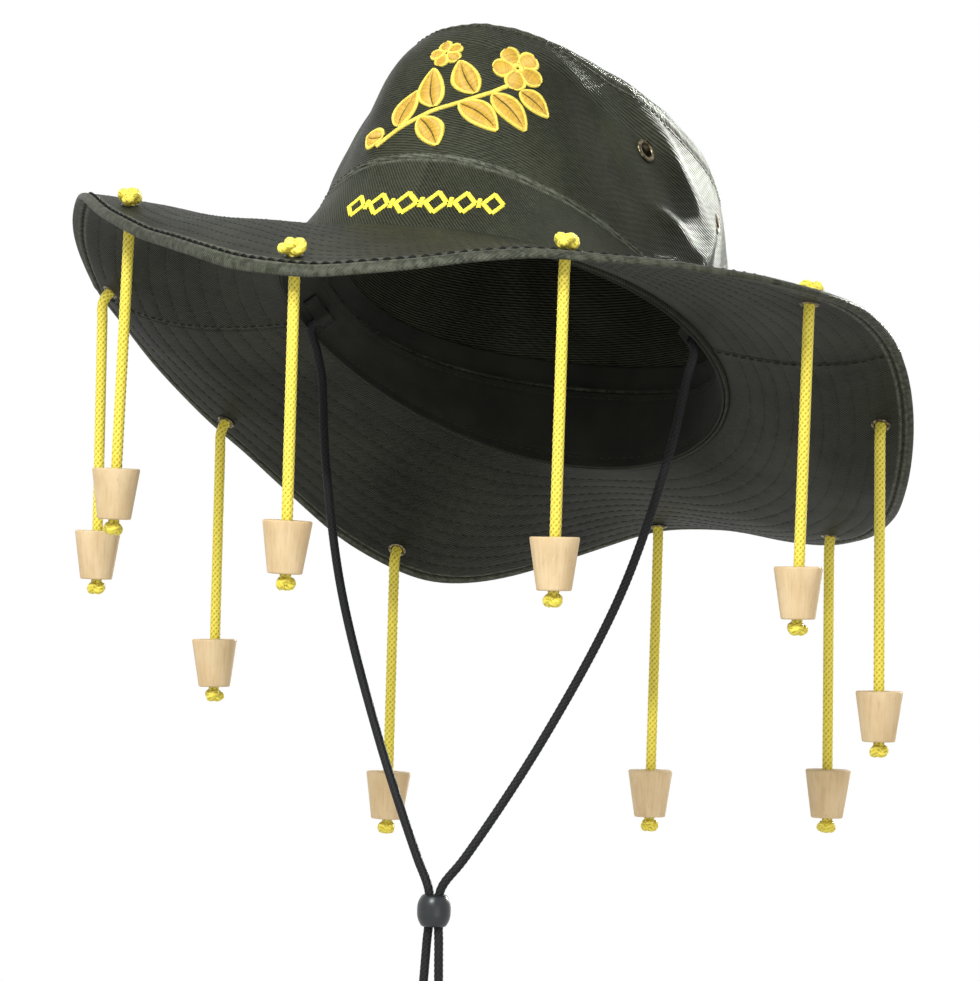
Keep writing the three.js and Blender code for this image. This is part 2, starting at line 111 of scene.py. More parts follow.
# Chin cord legs and the toggle on them; x is mirrored for the wearer's right
CHIN_RADIUS = 1.7
CHIN_START_ANGLE = 88
CHIN_START_LEVELS = (0.6, 0.12)
CHIN_START_CLEAR = 0.55
CHIN_LEG = [
    (76.0, -1.0, -14), (71.0, -6.0, -45), (58.0, -16.0, -95),
    (34.0, -30.0, -150), (10.0, -43.4, -194), (3.4, -47.4, -204),
]
CHIN_TAIL = [(2.4, -48.2, -225), (3.2, -48.8, -242), (4.6, -49.4, -260)]
TOGGLE_CENTRE = np.array([0.0, -48.0, -214.0])
TOGGLE_RADIUS = 6.3
TOGGLE_HEIGHT = 12
TOGGLE_SIDE = 2.05

# Camera of the photograph, in the part's frame
VIEW_YAW_DEG = 24.5
VIEW_ROLL_DEG = 1.63
VIEW_DISTANCE = 2200
VIEW_SIDE = -3.5
VIEW_HEIGHT = -57.3
VIEW_FOCAL_PX = 5800
FRAME_LONG_SIDE_PX = 981
SENSOR_WIDTH = 36.0
CAMERA_REACH = 60

UP = np.array([0, 0, 1.0])


def new_object(name, data):
    thing = bpy.data.objects.new(name, data)
    bpy.context.scene.collection.objects.link(thing)
    return thing


def make_camera():
    yaw, roll = math.radians(VIEW_YAW_DEG), math.radians(VIEW_ROLL_DEG)
    ahead = Vector((-math.sin(yaw), math.cos(yaw), 0))
    right = Vector((math.cos(yaw), math.sin(yaw), 0))
    up = Vector((0, 0, 1))
    place = (right * VIEW_SIDE - ahead * VIEW_DISTANCE + up * VIEW_HEIGHT) * MM
    across = right * math.cos(roll) + up * math.sin(roll)
    upward = up * math.cos(roll) - right * math.sin(roll)
    data = bpy.data.cameras.new("View")
    data.sensor_width = SENSOR_WIDTH
    data.lens = VIEW_FOCAL_PX / FRAME_LONG_SIDE_PX * SENSOR_WIDTH
    data.clip_end = CAMERA_REACH
    camera = new_object("View", data)
    turn = Matrix((across, upward, -ahead)).transposed()
    camera.matrix_world = Matrix.Translation(place) @ turn.to_4x4()
    bpy.context.scene.camera = camera


make_camera()


# Vector helpers
def unit(v):
    return v / np.maximum(np.linalg.norm(v, axis=-1, keepdims=True), 1e-9)


def bell(x):
    return np.exp(-x * x)


def broadcast(*values):
    return np.broadcast_arrays(*[np.asarray(v, dtype=float) for v in values])


def joined(groups):
    """One long array in place of each of the arrays that every group has."""
    return [np.concatenate(part) for part in zip(*groups)]


def full_turn(sides):
    return np.linspace(0, 2 * np.pi, sides, endpoint=False)


WORN = np.array(
    Matrix.Rotation(math.radians(TIP_SIDE_DEG), 3, "Y")
    @ Matrix.Rotation(-math.radians(TIP_BACK_DEG), 3, "X")
)


def worn(points):
    """From the level cloth frame to the hat as it is tipped on the head."""
    return points @ WORN.T


# Reading values between the rows of a table
def catmull_rom(before, start, end, after, f):
    linear = end - before
    square = 2 * before - 5 * start + 4 * end - after
    cube = 3 * start - before - 3 * end + after
    return 0.5 * (2 * start + linear * f + square * f * f + cube * f * f * f)


def read_around(values, angle):
    count = len(values)
    place = np.mod(angle, 360) / (360 / count)
    first = np.floor(place).astype(int)
    near = [values[(first + k) % count] for k in (-1, 0, 1, 2)]
    return catmull_rom(*near, place - first)


def read_along(values, level):
    last = len(values) - 1
    padded = np.concatenate([[2 * values[0] - values[1]], values, [2 * values[-1] - values[-2]]])
    first = np.clip(np.floor(level), 0, last - 1).astype(int)
    near = [padded[first + k] for k in range(4)]
    return catmull_rom(*near, level - first)


# Crown and brim surfaces in the level cloth frame
def smooth_crown(angle, level):
    angle, level = broadcast(angle, level)
    at = {
        name: read_along(CROWN_LEVELS[:, i], np.maximum(level, 0))
        for i, name in enumerate(CROWN_COLUMNS)
    }
    turn = np.radians(angle)
    cos, sin = np.cos(turn), np.sin(turn)
    square_sin = np.sign(sin) * np.abs(sin) ** CORNER_SQUARENESS
    square_cos = np.sign(cos) * np.abs(cos) ** CORNER_SQUARENESS
    middle = (at["z_front"] + at["z_back"]) / 2
    saddle = (middle - at["z_side"]) / 2
    fall = (at["z_front"] - at["z_back"]) / 2
    return np.stack([
        at["half_width"] * square_sin * (1 - at["narrowing"] * cos),
        -square_cos * np.where(cos > 0, at["front"], at["back"]),
        middle - saddle + fall * cos + saddle * np.cos(2 * turn),
    ], axis=-1)


def turn_from(angle, centre):
    return np.mod(angle - centre + 180, 360) - 180


def crown(angle, level):
    angle, level = broadcast(angle, level)
    point = smooth_crown(angle, level)
    radial = unit(point * np.array([1, 1, 0]))
    depth = sum(
        size * bell(turn_from(angle, place) / spread) * bell((level - height) / rise)
        for place, height, spread, rise, size in DENTS
    )
    point = point - radial * depth[..., None]
    point[..., 2] += np.minimum(level, 0) * BRIM_THICKNESS
    return point


def crown_normal(angle, level):
    level = np.maximum(level, 0.06)
    around = crown(angle + 1.0, level) - crown(angle - 1.0, level)
    along = crown(angle, level + 0.05) - crown(angle, level - 0.05)
    return unit(np.cross(around, along))


def brim(angle, share):
    angle, share = broadcast(angle, share)
    base = smooth_crown(angle, 0)
    ahead, behind = smooth_crown(angle + 1, 0), smooth_crown(angle - 1, 0)
    outward = unit(np.stack([
        ahead[..., 1] - behind[..., 1], behind[..., 0] - ahead[..., 0], np.zeros(angle.shape),
    ], axis=-1))
    width, start, end = (read_around(BRIM_SECTIONS[:, i], angle) for i in range(3))
    reach, rise = np.zeros(angle.shape), np.zeros(angle.shape)
    for i in range(BRIM_STEPS):
        along = (i + 0.5) / BRIM_STEPS * share
        slope = np.radians(start + (end - start) * along ** SLOPE_POWER)
        reach += width * share / BRIM_STEPS * np.cos(slope)
        rise += width * share / BRIM_STEPS * np.sin(slope)
    point = base + outward * reach[..., None]
    point[..., 2] += rise
    return point


def brim_normal(angle, share):
    share = np.clip(share, 0.03, 0.97)
    around = brim(angle + 1.0, share) - brim(angle - 1.0, share)
    along = brim(angle, share + 0.02) - brim(angle, share - 0.02)
    return -unit(np.cross(around, along))


# Meshes and pieces
def grid_faces(rows, columns, wrap_rows):
    """Quads of a grid that runs all the way round its columns, and their corners in its UV grid."""
    r, c = (a.ravel() for a in np.meshgrid(
        np.arange(rows if wrap_rows else rows - 1), np.arange(columns), indexing="ij"))
    below, beside = (r + 1) % rows, (c + 1) % columns
    row, next_row = r * columns, below * columns
    faces = np.stack([row + c, row + beside, next_row + beside, next_row + c], 1)
    row, next_row = r * (columns + 1), (r + 1) * (columns + 1)
    corners = np.stack([row + c, row + c + 1, next_row + c + 1, next_row + c], 1)
    return faces, corners


def add_piece(name, points, faces, look, uv=None, shade=None, replaces=()):
    """A mesh piece from points in millimetres, with a UV row for each face corner and a shade a point."""
    mesh = bpy.data.meshes.new(name)
    mesh.from_pydata((np.asarray(points) * MM).tolist(), [], faces)
    if uv is not None:
        layer = mesh.uv_layers.new(name="UVMap")
        layer.data.foreach_set("uv", (np.asarray(uv) * MM).astype(np.float32).ravel())
    if shade is not None:
        layer = mesh.attributes.new("shade", "FLOAT", "POINT")
        layer.data.foreach_set("value", np.asarray(shade, dtype=np.float32).ravel())
    edit = bmesh.new()
    edit.from_mesh(mesh)
    bmesh.ops.recalc_face_normals(edit, faces=edit.faces)
    edit.to_mesh(mesh)
    edit.free()
    mesh.polygons.foreach_set("use_smooth", [True] * len(mesh.polygons))
    mesh.materials.append(look)
    piece = new_object(name, mesh)
    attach(piece, "root")
    if replaces:
        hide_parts(*replaces)
    return piece


def grid_piece(name, grid, look, uv_grid, wrap_rows=True, shade=None, replaces=()):
    """A piece from a grid of points whose columns run round; without wrapped rows its ends are capped."""
    rows, columns = grid.shape[:2]
    faces, corners = grid_faces(rows, columns, wrap_rows)
    uv = uv_grid.reshape(-1, 2)[corners].reshape(-1, 2)
    face_list = faces.tolist()
    if not wrap_rows:
        face_list += [list(range(columns)), list(range((rows - 1) * columns, rows * columns))]
        caps = np.concatenate([uv_grid[0, :-1], uv_grid[-1, :-1]])
        uv = np.concatenate([uv, caps])
    return add_piece(name, grid.reshape(-1, 3), face_list, look, uv, shade, replaces=replaces)


def turned_grid(centre, up, across, other, profile, turn, uneven=1.0):
    """Rings round an axis, from a profile of radii and heights; uneven scales them by direction."""
    ring = np.cos(turn)[:, None] * across + np.sin(turn)[:, None] * other
    radius = profile[:, 0][:, None] * uneven * np.ones(len(turn))
    return centre + radius[..., None] * ring + profile[:, 1][:, None, None] * up


# Smooth routes
def centripetal(points, step):
    """Points about one step apart on a centripetal Catmull-Rom curve through points."""
    points = np.asarray(points, dtype=float)
    ends = [2 * points[0] - points[1], 2 * points[-1] - points[-2]]
    p = np.concatenate([[ends[0]], points, [ends[1]]])
    found = []
    for i in range(len(points) - 1):
        p0, p1, p2, p3 = p[i:i + 4]
        t0 = 0.0
        t1 = t0 + np.linalg.norm(p1 - p0) ** 0.5
        t2 = t1 + np.linalg.norm(p2 - p1) ** 0.5
        t3 = t2 + np.linalg.norm(p3 - p2) ** 0.5
        count = max(8, int(np.linalg.norm(p2 - p1) / step * 2))
        t = np.linspace(t1, t2, count, endpoint=False)[:, None]
        a1 = ((t1 - t) * p0 + (t - t0) * p1) / (t1 - t0)
        a2 = ((t2 - t) * p1 + (t - t1) * p2) / (t2 - t1)
        a3 = ((t3 - t) * p2 + (t - t2) * p3) / (t3 - t2)
        b1 = ((t2 - t) * a1 + (t - t0) * a2) / (t2 - t0)
        b2 = ((t3 - t) * a2 + (t - t1) * a3) / (t3 - t1)
        found.append(((t2 - t) * b1 + (t - t1) * b2) / (t2 - t1))
    return evenly_spaced(np.concatenate([*found, points[-1:]]), step)


def lengths_along(line):
    return np.concatenate([[0], np.cumsum(np.linalg.norm(np.diff(line, axis=0), axis=1))])


def read_at(where, along, values):
    """Rows of values read at lengths along their line."""
    return np.stack([np.interp(where, along, column) for column in values.T], axis=1)


def evenly_spaced(line, step):
    along = lengths_along(line)
    count = max(2, int(round(along[-1] / step)) + 1)
    return read_at(np.linspace(0, along[-1], count), along, line)


def carried_frames(line):
    """Two unit directions across a line at each of its points, carried along it without twist."""
    tangent = unit(np.gradient(line, axis=0))
    first = np.cross(tangent[0], [0.0, 1.0, 0.2])
    side = [first / np.linalg.norm(first)]
    for t in tangent[1:]:
        s = side[-1] - t * np.dot(side[-1], t)
        side.append(s / np.linalg.norm(s))
    side = np.array(side)
    return side, np.cross(tangent, side)


# Braided cord
BRAID_CARRIERS = 6
BRAID_RELIEF = 0.16
BRAID_MEAN = 0.75
BRAID_DIP = 0.65
STRAND_ROUNDNESS = 0.8
END_SHRINK = (0.55, 0.9)


def strand_height(own, other):
    """One set of strands, which dips where it passes under the other set."""
    rounded = np.cos(np.pi * (own - np.round(own))) ** STRAND_ROUNDNESS
    lift = 0.5 + 0.5 * np.cos(np.pi * (np.round(own) + other))
    return rounded * (1 - BRAID_DIP + BRAID_DIP * lift)


def braid_height(around, along, pitch):
    """Height of a braid, 0 in its gaps to 1 on its strands, from turns round it and length along it."""
    a = around * BRAID_CARRIERS + along / pitch
    b = around * BRAID_CARRIERS - along / pitch
    return np.maximum(strand_height(a, b), strand_height(b, a + 1))


def cord_mesh(name, line, radius, sides, pitch, look, replaces=()):
    """A braided tube round a line of evenly spaced points, which ends in rounded ends."""
    side, other = carried_frames(line)
    along = lengths_along(line)[:, None]
    turn = np.arange(sides)[None, :] / sides
    height = braid_height(turn, along, pitch)
    size = radius * (1 + BRAID_RELIEF * (height - BRAID_MEAN))
    size[[0, -1]] *= END_SHRINK[0]
    size[[1, -2]] *= END_SHRINK[1]
    angle = 2 * np.pi * turn[..., None]
    outward = np.cos(angle) * side[:, None] + np.sin(angle) * other[:, None]
    grid = line[:, None] + size[..., None] * outward
    wide = np.linspace(0, 2 * np.pi * radius, sides + 1)[None, :]
    uv = np.stack(broadcast(wide, along), axis=-1)
    # The braid's height goes into the shade attribute, from which the cord's look paints shade between the
    # strands and a highlight on them.
    return grid_piece(name, grid, look, uv, False, height.ravel(), replaces)


# Materials
NOISE_MIDDLE = (0.3, 0.7)


class Nodes:
    """A material's node tree, with short calls for the nodes that the looks here are built from."""

    def __init__(self, name):
        self.material = bpy.data.materials.new(name)
        self.material.use_nodes = True
        self.tree = self.material.node_tree
        self.tree.nodes.clear()
        self.shader = self.tree.nodes.new("ShaderNodeBsdfPrincipled")
        output = self.tree.nodes.new("ShaderNodeOutputMaterial")
        self.tree.links.new(self.shader.outputs[0], output.inputs[0])

    def put(self, socket, value):
        if isinstance(value, bpy.types.NodeSocket):
            self.tree.links.new(value, socket)
        else:
            socket.default_value = value

    def math(self, operation, first, second=0.0, third=None, clamp=False):
        node = self.tree.nodes.new("ShaderNodeMath")
        node.operation = operation
        node.use_clamp = clamp
        self.put(node.inputs[0], first)
        self.put(node.inputs[1], second)
        if third is not None:
            self.put(node.inputs[2], third)
        return node.outputs[0]

    def wave(self, value, length=1.0):
        """Sine wave of a length, from -1 to 1."""
        return self.math("SINE", self.math("MULTIPLY", value, 2 * math.pi / length))

    def from_zero(self, wave):
        """A wave from -1 to 1, brought to 0 to 1."""
        return self.math("MULTIPLY_ADD", wave, 0.5, 0.5)

    def flat_place(self):
        """The piece's UV coordinates, which are metres on its cloth."""
        node = self.tree.nodes.new("ShaderNodeUVMap")
        node.uv_map = "UVMap"
        return node.outputs[0]

    def solid_place(self):
        return self.tree.nodes.new("ShaderNodeTexCoord").outputs["Object"]

    def shade(self):
        node = self.tree.nodes.new("ShaderNodeAttribute")
        node.attribute_name = "shade"
        return node.outputs["Fac"]

    def split(self, vector):
        node = self.tree.nodes.new("ShaderNodeSeparateXYZ")
        self.put(node.inputs[0], vector)
        return node.outputs

    def scaled(self, vector, scale):
        node = self.tree.nodes.new("ShaderNodeVectorMath")
        node.operation = "MULTIPLY"
        self.put(node.inputs[0], vector)
        node.inputs[1].default_value = scale
        return node.outputs[0]

    def noise(self, place, scale, detail=3.0, roughness=0.55):
        node = self.tree.nodes.new("ShaderNodeTexNoise")
        self.put(node.inputs["Vector"], place)
        node.inputs["Scale"].default_value = scale
        node.inputs["Detail"].default_value = detail
        node.inputs["Roughness"].default_value = roughness
        return node.outputs[0]

    def spread(self, value, low, high, to_low=0.0, to_high=1.0):
        node = self.tree.nodes.new("ShaderNodeMapRange")
        node.interpolation_type = "SMOOTHSTEP"
        for socket, number in zip(node.inputs[1:5], (low, high, to_low, to_high)):
            socket.default_value = number
        self.put(node.inputs[0], value)
        return node.outputs[0]

    def cloud(self, place, scale, detail, low=0.0, high=1.0):
        """Soft noise that runs from one number to another."""
        return self.spread(self.noise(place, scale, detail), *NOISE_MIDDLE, low, high)

    def mix(self, share, first, second):
        node = self.tree.nodes.new("ShaderNodeMix")
        node.data_type = "RGBA"
        self.put(node.inputs["Factor"], share)
        for name, value in (("A", first), ("B", second)):
            socket = [s for s in node.inputs if s.name == name and s.type == "RGBA"][0]
            self.put(socket, (*value, 1.0) if isinstance(value, tuple) else value)
        return [s for s in node.outputs if s.type == "RGBA"][0]

    def bump(self, height, strength, distance, normal=None):
        node = self.tree.nodes.new("ShaderNodeBump")
        node.inputs["Strength"].default_value = strength
        node.inputs["Distance"].default_value = distance
        self.put(node.inputs["Height"], height)
        if normal is not None:
            self.put(node.inputs["Normal"], normal)
        return node.outputs[0]

    def finish(self, colour, normal=None, **sockets):
        self.put(self.shader.inputs["Base Color"], colour)
        if normal is not None:
            self.put(self.shader.inputs["Normal"], normal)
        for name, value in sockets.items():
            self.put(self.shader.inputs[name.replace("_", " ")], value)
        return self.material


TWILL_DARK = (0.0020, 0.0024, 0.0011)
TWILL_LIGHT = (0.039, 0.0415, 0.0250)
TWILL_FADED = (0.120, 0.124, 0.092)
TWILL_SHEEN_TINT = (0.85, 0.9, 0.8, 1.0)
RIB_PITCH = 1.0 * MM
RIB_WOBBLE = 0.9
RIB_SHARE = 0.8
RIB_TONE = 0.62
THREAD_PITCH = 0.42 * MM
LONG_ACROSS = (1.0, 6.0, 1.0)
WEAR_SHARE = 0.75
LINING_PITCH = 0.55 * MM


def twill_look(name, rib_deg, contrast=1.0):
    """Cotton twill: diagonal ribs over cross threads, slubs, fading, and wear where shade is high."""
    n = Nodes(name)
    place = n.flat_place()
    u, v, _ = n.split(place)
    wobble = n.math("MULTIPLY", n.math("SUBTRACT", n.noise(place, 55, 2), 0.5), RIB_WOBBLE)
    rib = math.radians(rib_deg)
    across = n.math("ADD", n.math("MULTIPLY", u, -math.sin(rib) / RIB_PITCH),
                    n.math("MULTIPLY", v, math.cos(rib) / RIB_PITCH))
    ribs = n.from_zero(n.wave(n.math("ADD", across, wobble)))
    threads = n.from_zero(n.wave(v, THREAD_PITCH))
    height = n.math("ADD", n.math("MULTIPLY", ribs, RIB_SHARE), n.math("MULTIPLY", threads, 1 - RIB_SHARE))
    slubs = n.cloud(n.scaled(place, LONG_ACROSS), 260, 2, -0.12, 0.16)
    tone = n.math("ADD", n.math("MULTIPLY", height, RIB_TONE * contrast), slubs)
    tone = n.math("ADD", tone, n.cloud(place, 22, 4, -0.11, 0.19), clamp=True)
    colour = n.mix(tone, TWILL_DARK, TWILL_LIGHT)
    rubbing = n.spread(n.noise(place, 420, 3), 0.35, 0.65, 0.3, 1.0)
    rubbed = n.math("MULTIPLY", n.shade(), rubbing)
    colour = n.mix(n.math("MULTIPLY", rubbed, WEAR_SHARE, clamp=True), colour, TWILL_FADED)
    soft = n.bump(n.noise(place, 900, 2), 0.25, 0.15 * MM)
    normal = n.bump(height, 0.9 * contrast, 0.3 * MM, soft)
    return n.finish(colour, normal, Roughness=0.50, Specular_IOR_Level=0.09, Sheen_Weight=0.015,
                    Sheen_Roughness=0.35, Sheen_Tint=TWILL_SHEEN_TINT)


def plain_cloth_look(name, dark, light):
    """Plain-woven lining cloth."""
    n = Nodes(name)
    place = n.flat_place()
    u, v, _ = n.split(place)
    height = n.from_zero(n.math("MULTIPLY", n.wave(u, LINING_PITCH), n.wave(v, LINING_PITCH)))
    tone = n.math("ADD", n.math("MULTIPLY", height, 0.5), n.cloud(place, 40, 4, 0.0, 0.4))
    colour = n.mix(n.math("ADD", tone, n.math("MULTIPLY", n.shade(), 0.4), clamp=True), dark, light)
    normal = n.bump(height, 0.5, 0.15 * MM)
    return n.finish(colour, normal, Roughness=0.8, Specular_IOR_Level=0.12, Sheen_Weight=0.03)


def cord_look(name, deep, middle, light, roughness, specular, sheen):
    """Braided polyester with fine filaments along its strands, painted shade between the strands and a
    painted highlight on their crowns.
    """
    n = Nodes(name)
    place = n.flat_place()
    height = n.shade()
    strands = n.spread(height, 0.15, 0.85)
    fibres = n.noise(n.scaled(place, (6.0, 1.0, 1.0)), 700, 2)
    tone = n.math("ADD", strands, n.spread(fibres, *NOISE_MIDDLE, -0.18, 0.18), clamp=True)
    # The deep colour is painted shade in the gaps between the strands; the light colour is a painted
    # highlight on their crowns.
    colour = n.mix(n.spread(tone, 0.0, 0.55), deep, middle)
    colour = n.mix(n.spread(tone, 0.5, 1.0), colour, light)
    normal = n.bump(fibres, 0.35, 0.12 * MM)
    return n.finish(colour, normal, Roughness=roughness, Specular_IOR_Level=specular, Sheen_Weight=sheen)


CORK_DARK = (0.49, 0.35, 0.185)
CORK_LIGHT = (0.57, 0.43, 0.25)
CORK_GRAIN = (0.37, 0.24, 0.115)
CORK_FLECK = (0.26, 0.15, 0.06)
CORK_BORE_SHADE_AND_DARK_EDGES = (0.36, 0.24, 0.12)
BRASS_HOLLOW = (0.045, 0.036, 0.020)
BRASS_BRIGHT = (0.27, 0.23, 0.145)
PLASTIC_DARK = (0.006, 0.0075, 0.0085)
PLASTIC_LIGHT = (0.013, 0.016, 0.018)
FLOOR_DARK = (0.86, 0.86, 0.855)
FLOOR_LIGHT = (0.90, 0.90, 0.895)


def cork_look(name):
    """Pale turned stopper with a close vertical grain, small dark flecks, painted shade in its bore and
    darker lower and upper edges.
    """
    n = Nodes(name)
    place = n.flat_place()
    grain = n.noise(n.scaled(place, (1.0, 0.10, 1.0)), 900, 4, 0.6)
    broad = n.cloud(n.scaled(place, (1.0, 0.35, 1.0)), 120, 3)
    colour = n.mix(broad, CORK_DARK, CORK_LIGHT)
    colour = n.mix(n.spread(grain, 0.45, 0.8, 0.0, 0.55), colour, CORK_GRAIN)
    flecks = n.noise(n.scaled(place, (1.0, 0.45, 1.0)), 1500, 1)
    colour = n.mix(n.spread(flecks, 0.68, 0.78, 0.0, 0.5), colour, CORK_FLECK)
    # Painted shade inside the bore and at its mouths, and darker lower and upper edges, by the shade
    # attribute.
    colour = n.mix(n.math("MULTIPLY", n.shade(), 0.45), colour, CORK_BORE_SHADE_AND_DARK_EDGES)
    height = n.math("ADD", grain, n.math("MULTIPLY", n.spread(flecks, 0.64, 0.76), -0.8))
    normal = n.bump(height, 0.3, 0.12 * MM)
    return n.finish(colour, normal, Roughness=0.62, Specular_IOR_Level=0.35)


def brass_look(name):
    """Antique brass: bright where rubbed, brown in its hollows."""
    n = Nodes(name)
    place = n.solid_place()
    patina = n.spread(n.noise(place, 700, 4), 0.35, 0.65)
    rubbed = n.math("MULTIPLY", n.shade(), patina, clamp=True)
    colour = n.mix(rubbed, BRASS_HOLLOW, BRASS_BRIGHT)
    normal = n.bump(n.noise(place, 2600, 2), 0.2, 0.05 * MM)
    return n.finish(colour, normal, Metallic=1.0, Roughness=n.spread(patina, 0.0, 1.0, 0.5, 0.28))


def toggle_look(name):
    """Moulded satin plastic with a faint orange-peel surface."""
    n = Nodes(name)
    place = n.solid_place()
    colour = n.mix(n.cloud(place, 160, 3), PLASTIC_DARK, PLASTIC_LIGHT)
    normal = n.bump(n.noise(place, 1400, 2), 0.18, 0.08 * MM)
    roughness = n.cloud(place, 500, 3, 0.30, 0.42)
    return n.finish(colour, normal, Roughness=roughness, Specular_IOR_Level=0.5)


def thread_look(name, deep, light, roughness=0.6, specular=0.35, sheen=0.0):
    """Twisted sewing or embroidery thread, each length a little lighter or darker by its shade."""
    n = Nodes(name)
    place = n.solid_place()
    fibres = n.noise(place, 3200, 2)
    tone = n.math("ADD", n.shade(), n.spread(fibres, *NOISE_MIDDLE, -0.2, 0.2), clamp=True)
    normal = n.bump(fibres, 0.4, 0.06 * MM)
    return n.finish(n.mix(tone, deep, light), normal, Roughness=roughness,
                    Specular_IOR_Level=specular, Sheen_Weight=sheen)


def floor_look(name):
    n = Nodes(name)
    return n.finish(n.mix(n.cloud(n.solid_place(), 0.8, 2), FLOOR_DARK, FLOOR_LIGHT), Roughness=0.9)


WALL_TWILL = twill_look("Twill_Wall", -5, 1.3)
BAND_TWILL = twill_look("Twill_Band", 132, 1.3)
BRIM_TWILL = twill_look("Twill_Brim", 52, 0.7)
TIP_TWILL = twill_look("Twill_Tip", -40, 1.25)
LINING = plain_cloth_look("Lining_Cloth", (0.005, 0.0052, 0.0038), (0.021, 0.0215, 0.016))
# Cord colours run from painted shade between the strands, through the cord's own colour, to a painted
# highlight on the strands' crowns.
YELLOW_CORD = cord_look(
    "Yellow_Braid", (0.29, 0.21, 0.012), (0.53, 0.42, 0.035), (0.69, 0.59, 0.085), 0.55, 0.25, 0.05)
BLACK_CORD = cord_look(
    "Black_Braid", (0.002, 0.002, 0.0024), (0.006, 0.006, 0.0066), (0.017, 0.017, 0.018), 0.6, 0.15, 0.0)
CORK = cork_look("Turned_Cork")
BRASS = brass_look("Antique_Brass")
TOGGLE = toggle_look("Toggle_Plastic")
SEWING_THREAD = thread_look(
    "Sewing_Thread", (0.015, 0.0158, 0.010), (0.032, 0.0335, 0.021), specular=0.08)
TOPSTITCH_THREAD = thread_look(
    "Topstitch_Thread", (0.0012, 0.0013, 0.0010), (0.006, 0.0063, 0.005), specular=0.1)
GOLD_THREAD = thread_look(
    "Gold_Thread", (0.25, 0.135, 0.008), (0.47, 0.30, 0.030), 0.40, sheen=0.08)
LEMON_THREAD = thread_look(
    "Lemon_Thread", (0.40, 0.29, 0.025), (0.66, 0.53, 0.085), 0.40, sheen=0.08)
BRIGHT_THREAD = thread_look(
    "Bright_Yellow_Thread", (0.48, 0.38, 0.013), (0.72, 0.62, 0.045), 0.42, sheen=0.08)
FLOOR = floor_look("Pale_Floor")


# Cork strings
STRING_SIDES = 24
STRING_RING = 0.45
STRING_PITCH = 2.3
KNOT_FLAT = 1.15
KNOT_SIDES = 18
KNOT_RING = 0.55
KNOT_POINTS = 60
# Each knot: radius of its cord, size of its lobes, length of its cut end
TOP_KNOT = (1.9, 1.02, 3.2)
LOW_KNOT = (1.7, 0.72, 2.0)
TAIL_KNOT = (1.45, 0.72, 2.2)
# Degrees by which each string's knots and cork are turned past the last one's
TOP_KNOT_SPIN = 47
LOW_KNOT_SPIN = 71
CORK_SPIN = 36


def string_place(angle):
    """Middle of a string's hole in the level brim, and the brim's upward normal there."""
    width = read_around(BRIM_SECTIONS[:, 0], angle)
    share = 1 - HOLE_INSET / width
    normal = brim_normal(angle, share)
    return brim(angle, share) - normal * BRIM_THICKNESS / 2, normal


def worn_string_place(angle):
    middle, normal = string_place(angle)
    return worn(middle), worn(normal)


def string_route(row):
    """Centreline points of one string, out of its top knot, through the brim and straight down."""
    angle, drop, lean, _ = row
    middle, normal = worn_string_place(angle)
    lean = math.radians(lean)
    down = np.array([math.sin(lean), 0, -math.cos(lean)])
    half = BRIM_THICKNESS / 2
    start = middle + normal * (half + KNOT_GAP + KNOT_HALF_HEIGHT)
    leave = middle - normal * (half + STRING_EXIT)
    elbow = leave - normal * STRING_ELBOW + down * STRING_ELBOW
    hang = elbow + down * STRING_STEP / 2
    bent = STRING_EXIT + STRING_ELBOW + np.linalg.norm(hang - elbow)
    cork_top = hang + down * (drop - bent)
    end = cork_top + down * (CORK_HEIGHT + KNOT_GAP + KNOT_HALF_HEIGHT)
    count = math.ceil(np.linalg.norm(end - hang) / STRING_STEP)
    rest = [hang + (end - hang) * (i + 1) / count for i in range(count)]
    points = np.array([start, middle, leave, elbow, hang, *rest])
    return points, normal, down, cork_top


def turned_axes(up, spin_deg):
    """Two unit directions across up, turned round it."""
    first = unit(np.cross(up, [0.3, 1.0, 0.1]))
    second = np.cross(up, first)
    cos, sin = math.cos(math.radians(spin_deg)), math.sin(math.radians(spin_deg))
    return first * cos + second * sin, second * cos - first * sin


def knot_piece(name, centre, up, spin_deg, size, look):
    """A tight overhand knot: a cord round three lobes, with its cut end standing out of the side."""
    cord_radius, lobe, tail = size
    across, other = turned_axes(up, spin_deg)
    turn = full_turn(KNOT_POINTS) + np.pi / 3
    flat = np.stack([
        (np.sin(turn) + 2 * np.sin(2 * turn)) * lobe,
        (np.cos(turn) - 2 * np.cos(2 * turn)) * lobe,
        -np.sin(3 * turn) * KNOT_FLAT * lobe,
    ], axis=1)
    leaving = flat[-1] + np.outer(np.linspace(0.2, 1, 4), [tail * 0.85, tail * 0.45, tail * 0.12])
    local = np.concatenate([flat, leaving])
    line = centre + local[:, :1] * across + local[:, 1:2] * other + local[:, 2:] * up
    line = evenly_spaced(line, KNOT_RING)
    return cord_mesh(name, line, cord_radius, KNOT_SIDES, STRING_PITCH * 0.8, look)


CORK_PROFILE_STEPS = 5
CORK_EDGE = 0.7
CORK_SIDES = 56
CORK_RISES = np.array([0.2, 0.4, 0.6, 0.8])
# Millimetres by which each cork's grain is moved on from the last one's, round it and along it
CORK_GRAIN_SHIFT = (37, 61)
# Painted shade of the cork inside its bore and at its mouths, and darkening at its lower and upper edge
BORE_PAINTED_SHADE = 1.0
EDGE_DARKENING = 0.35
# Rounding of the bore's mouths: how much wider, and how far in from the cork's end
CORK_MOUTH = [(0, 1.2), (0.15, 0.25), (0.45, 0)]


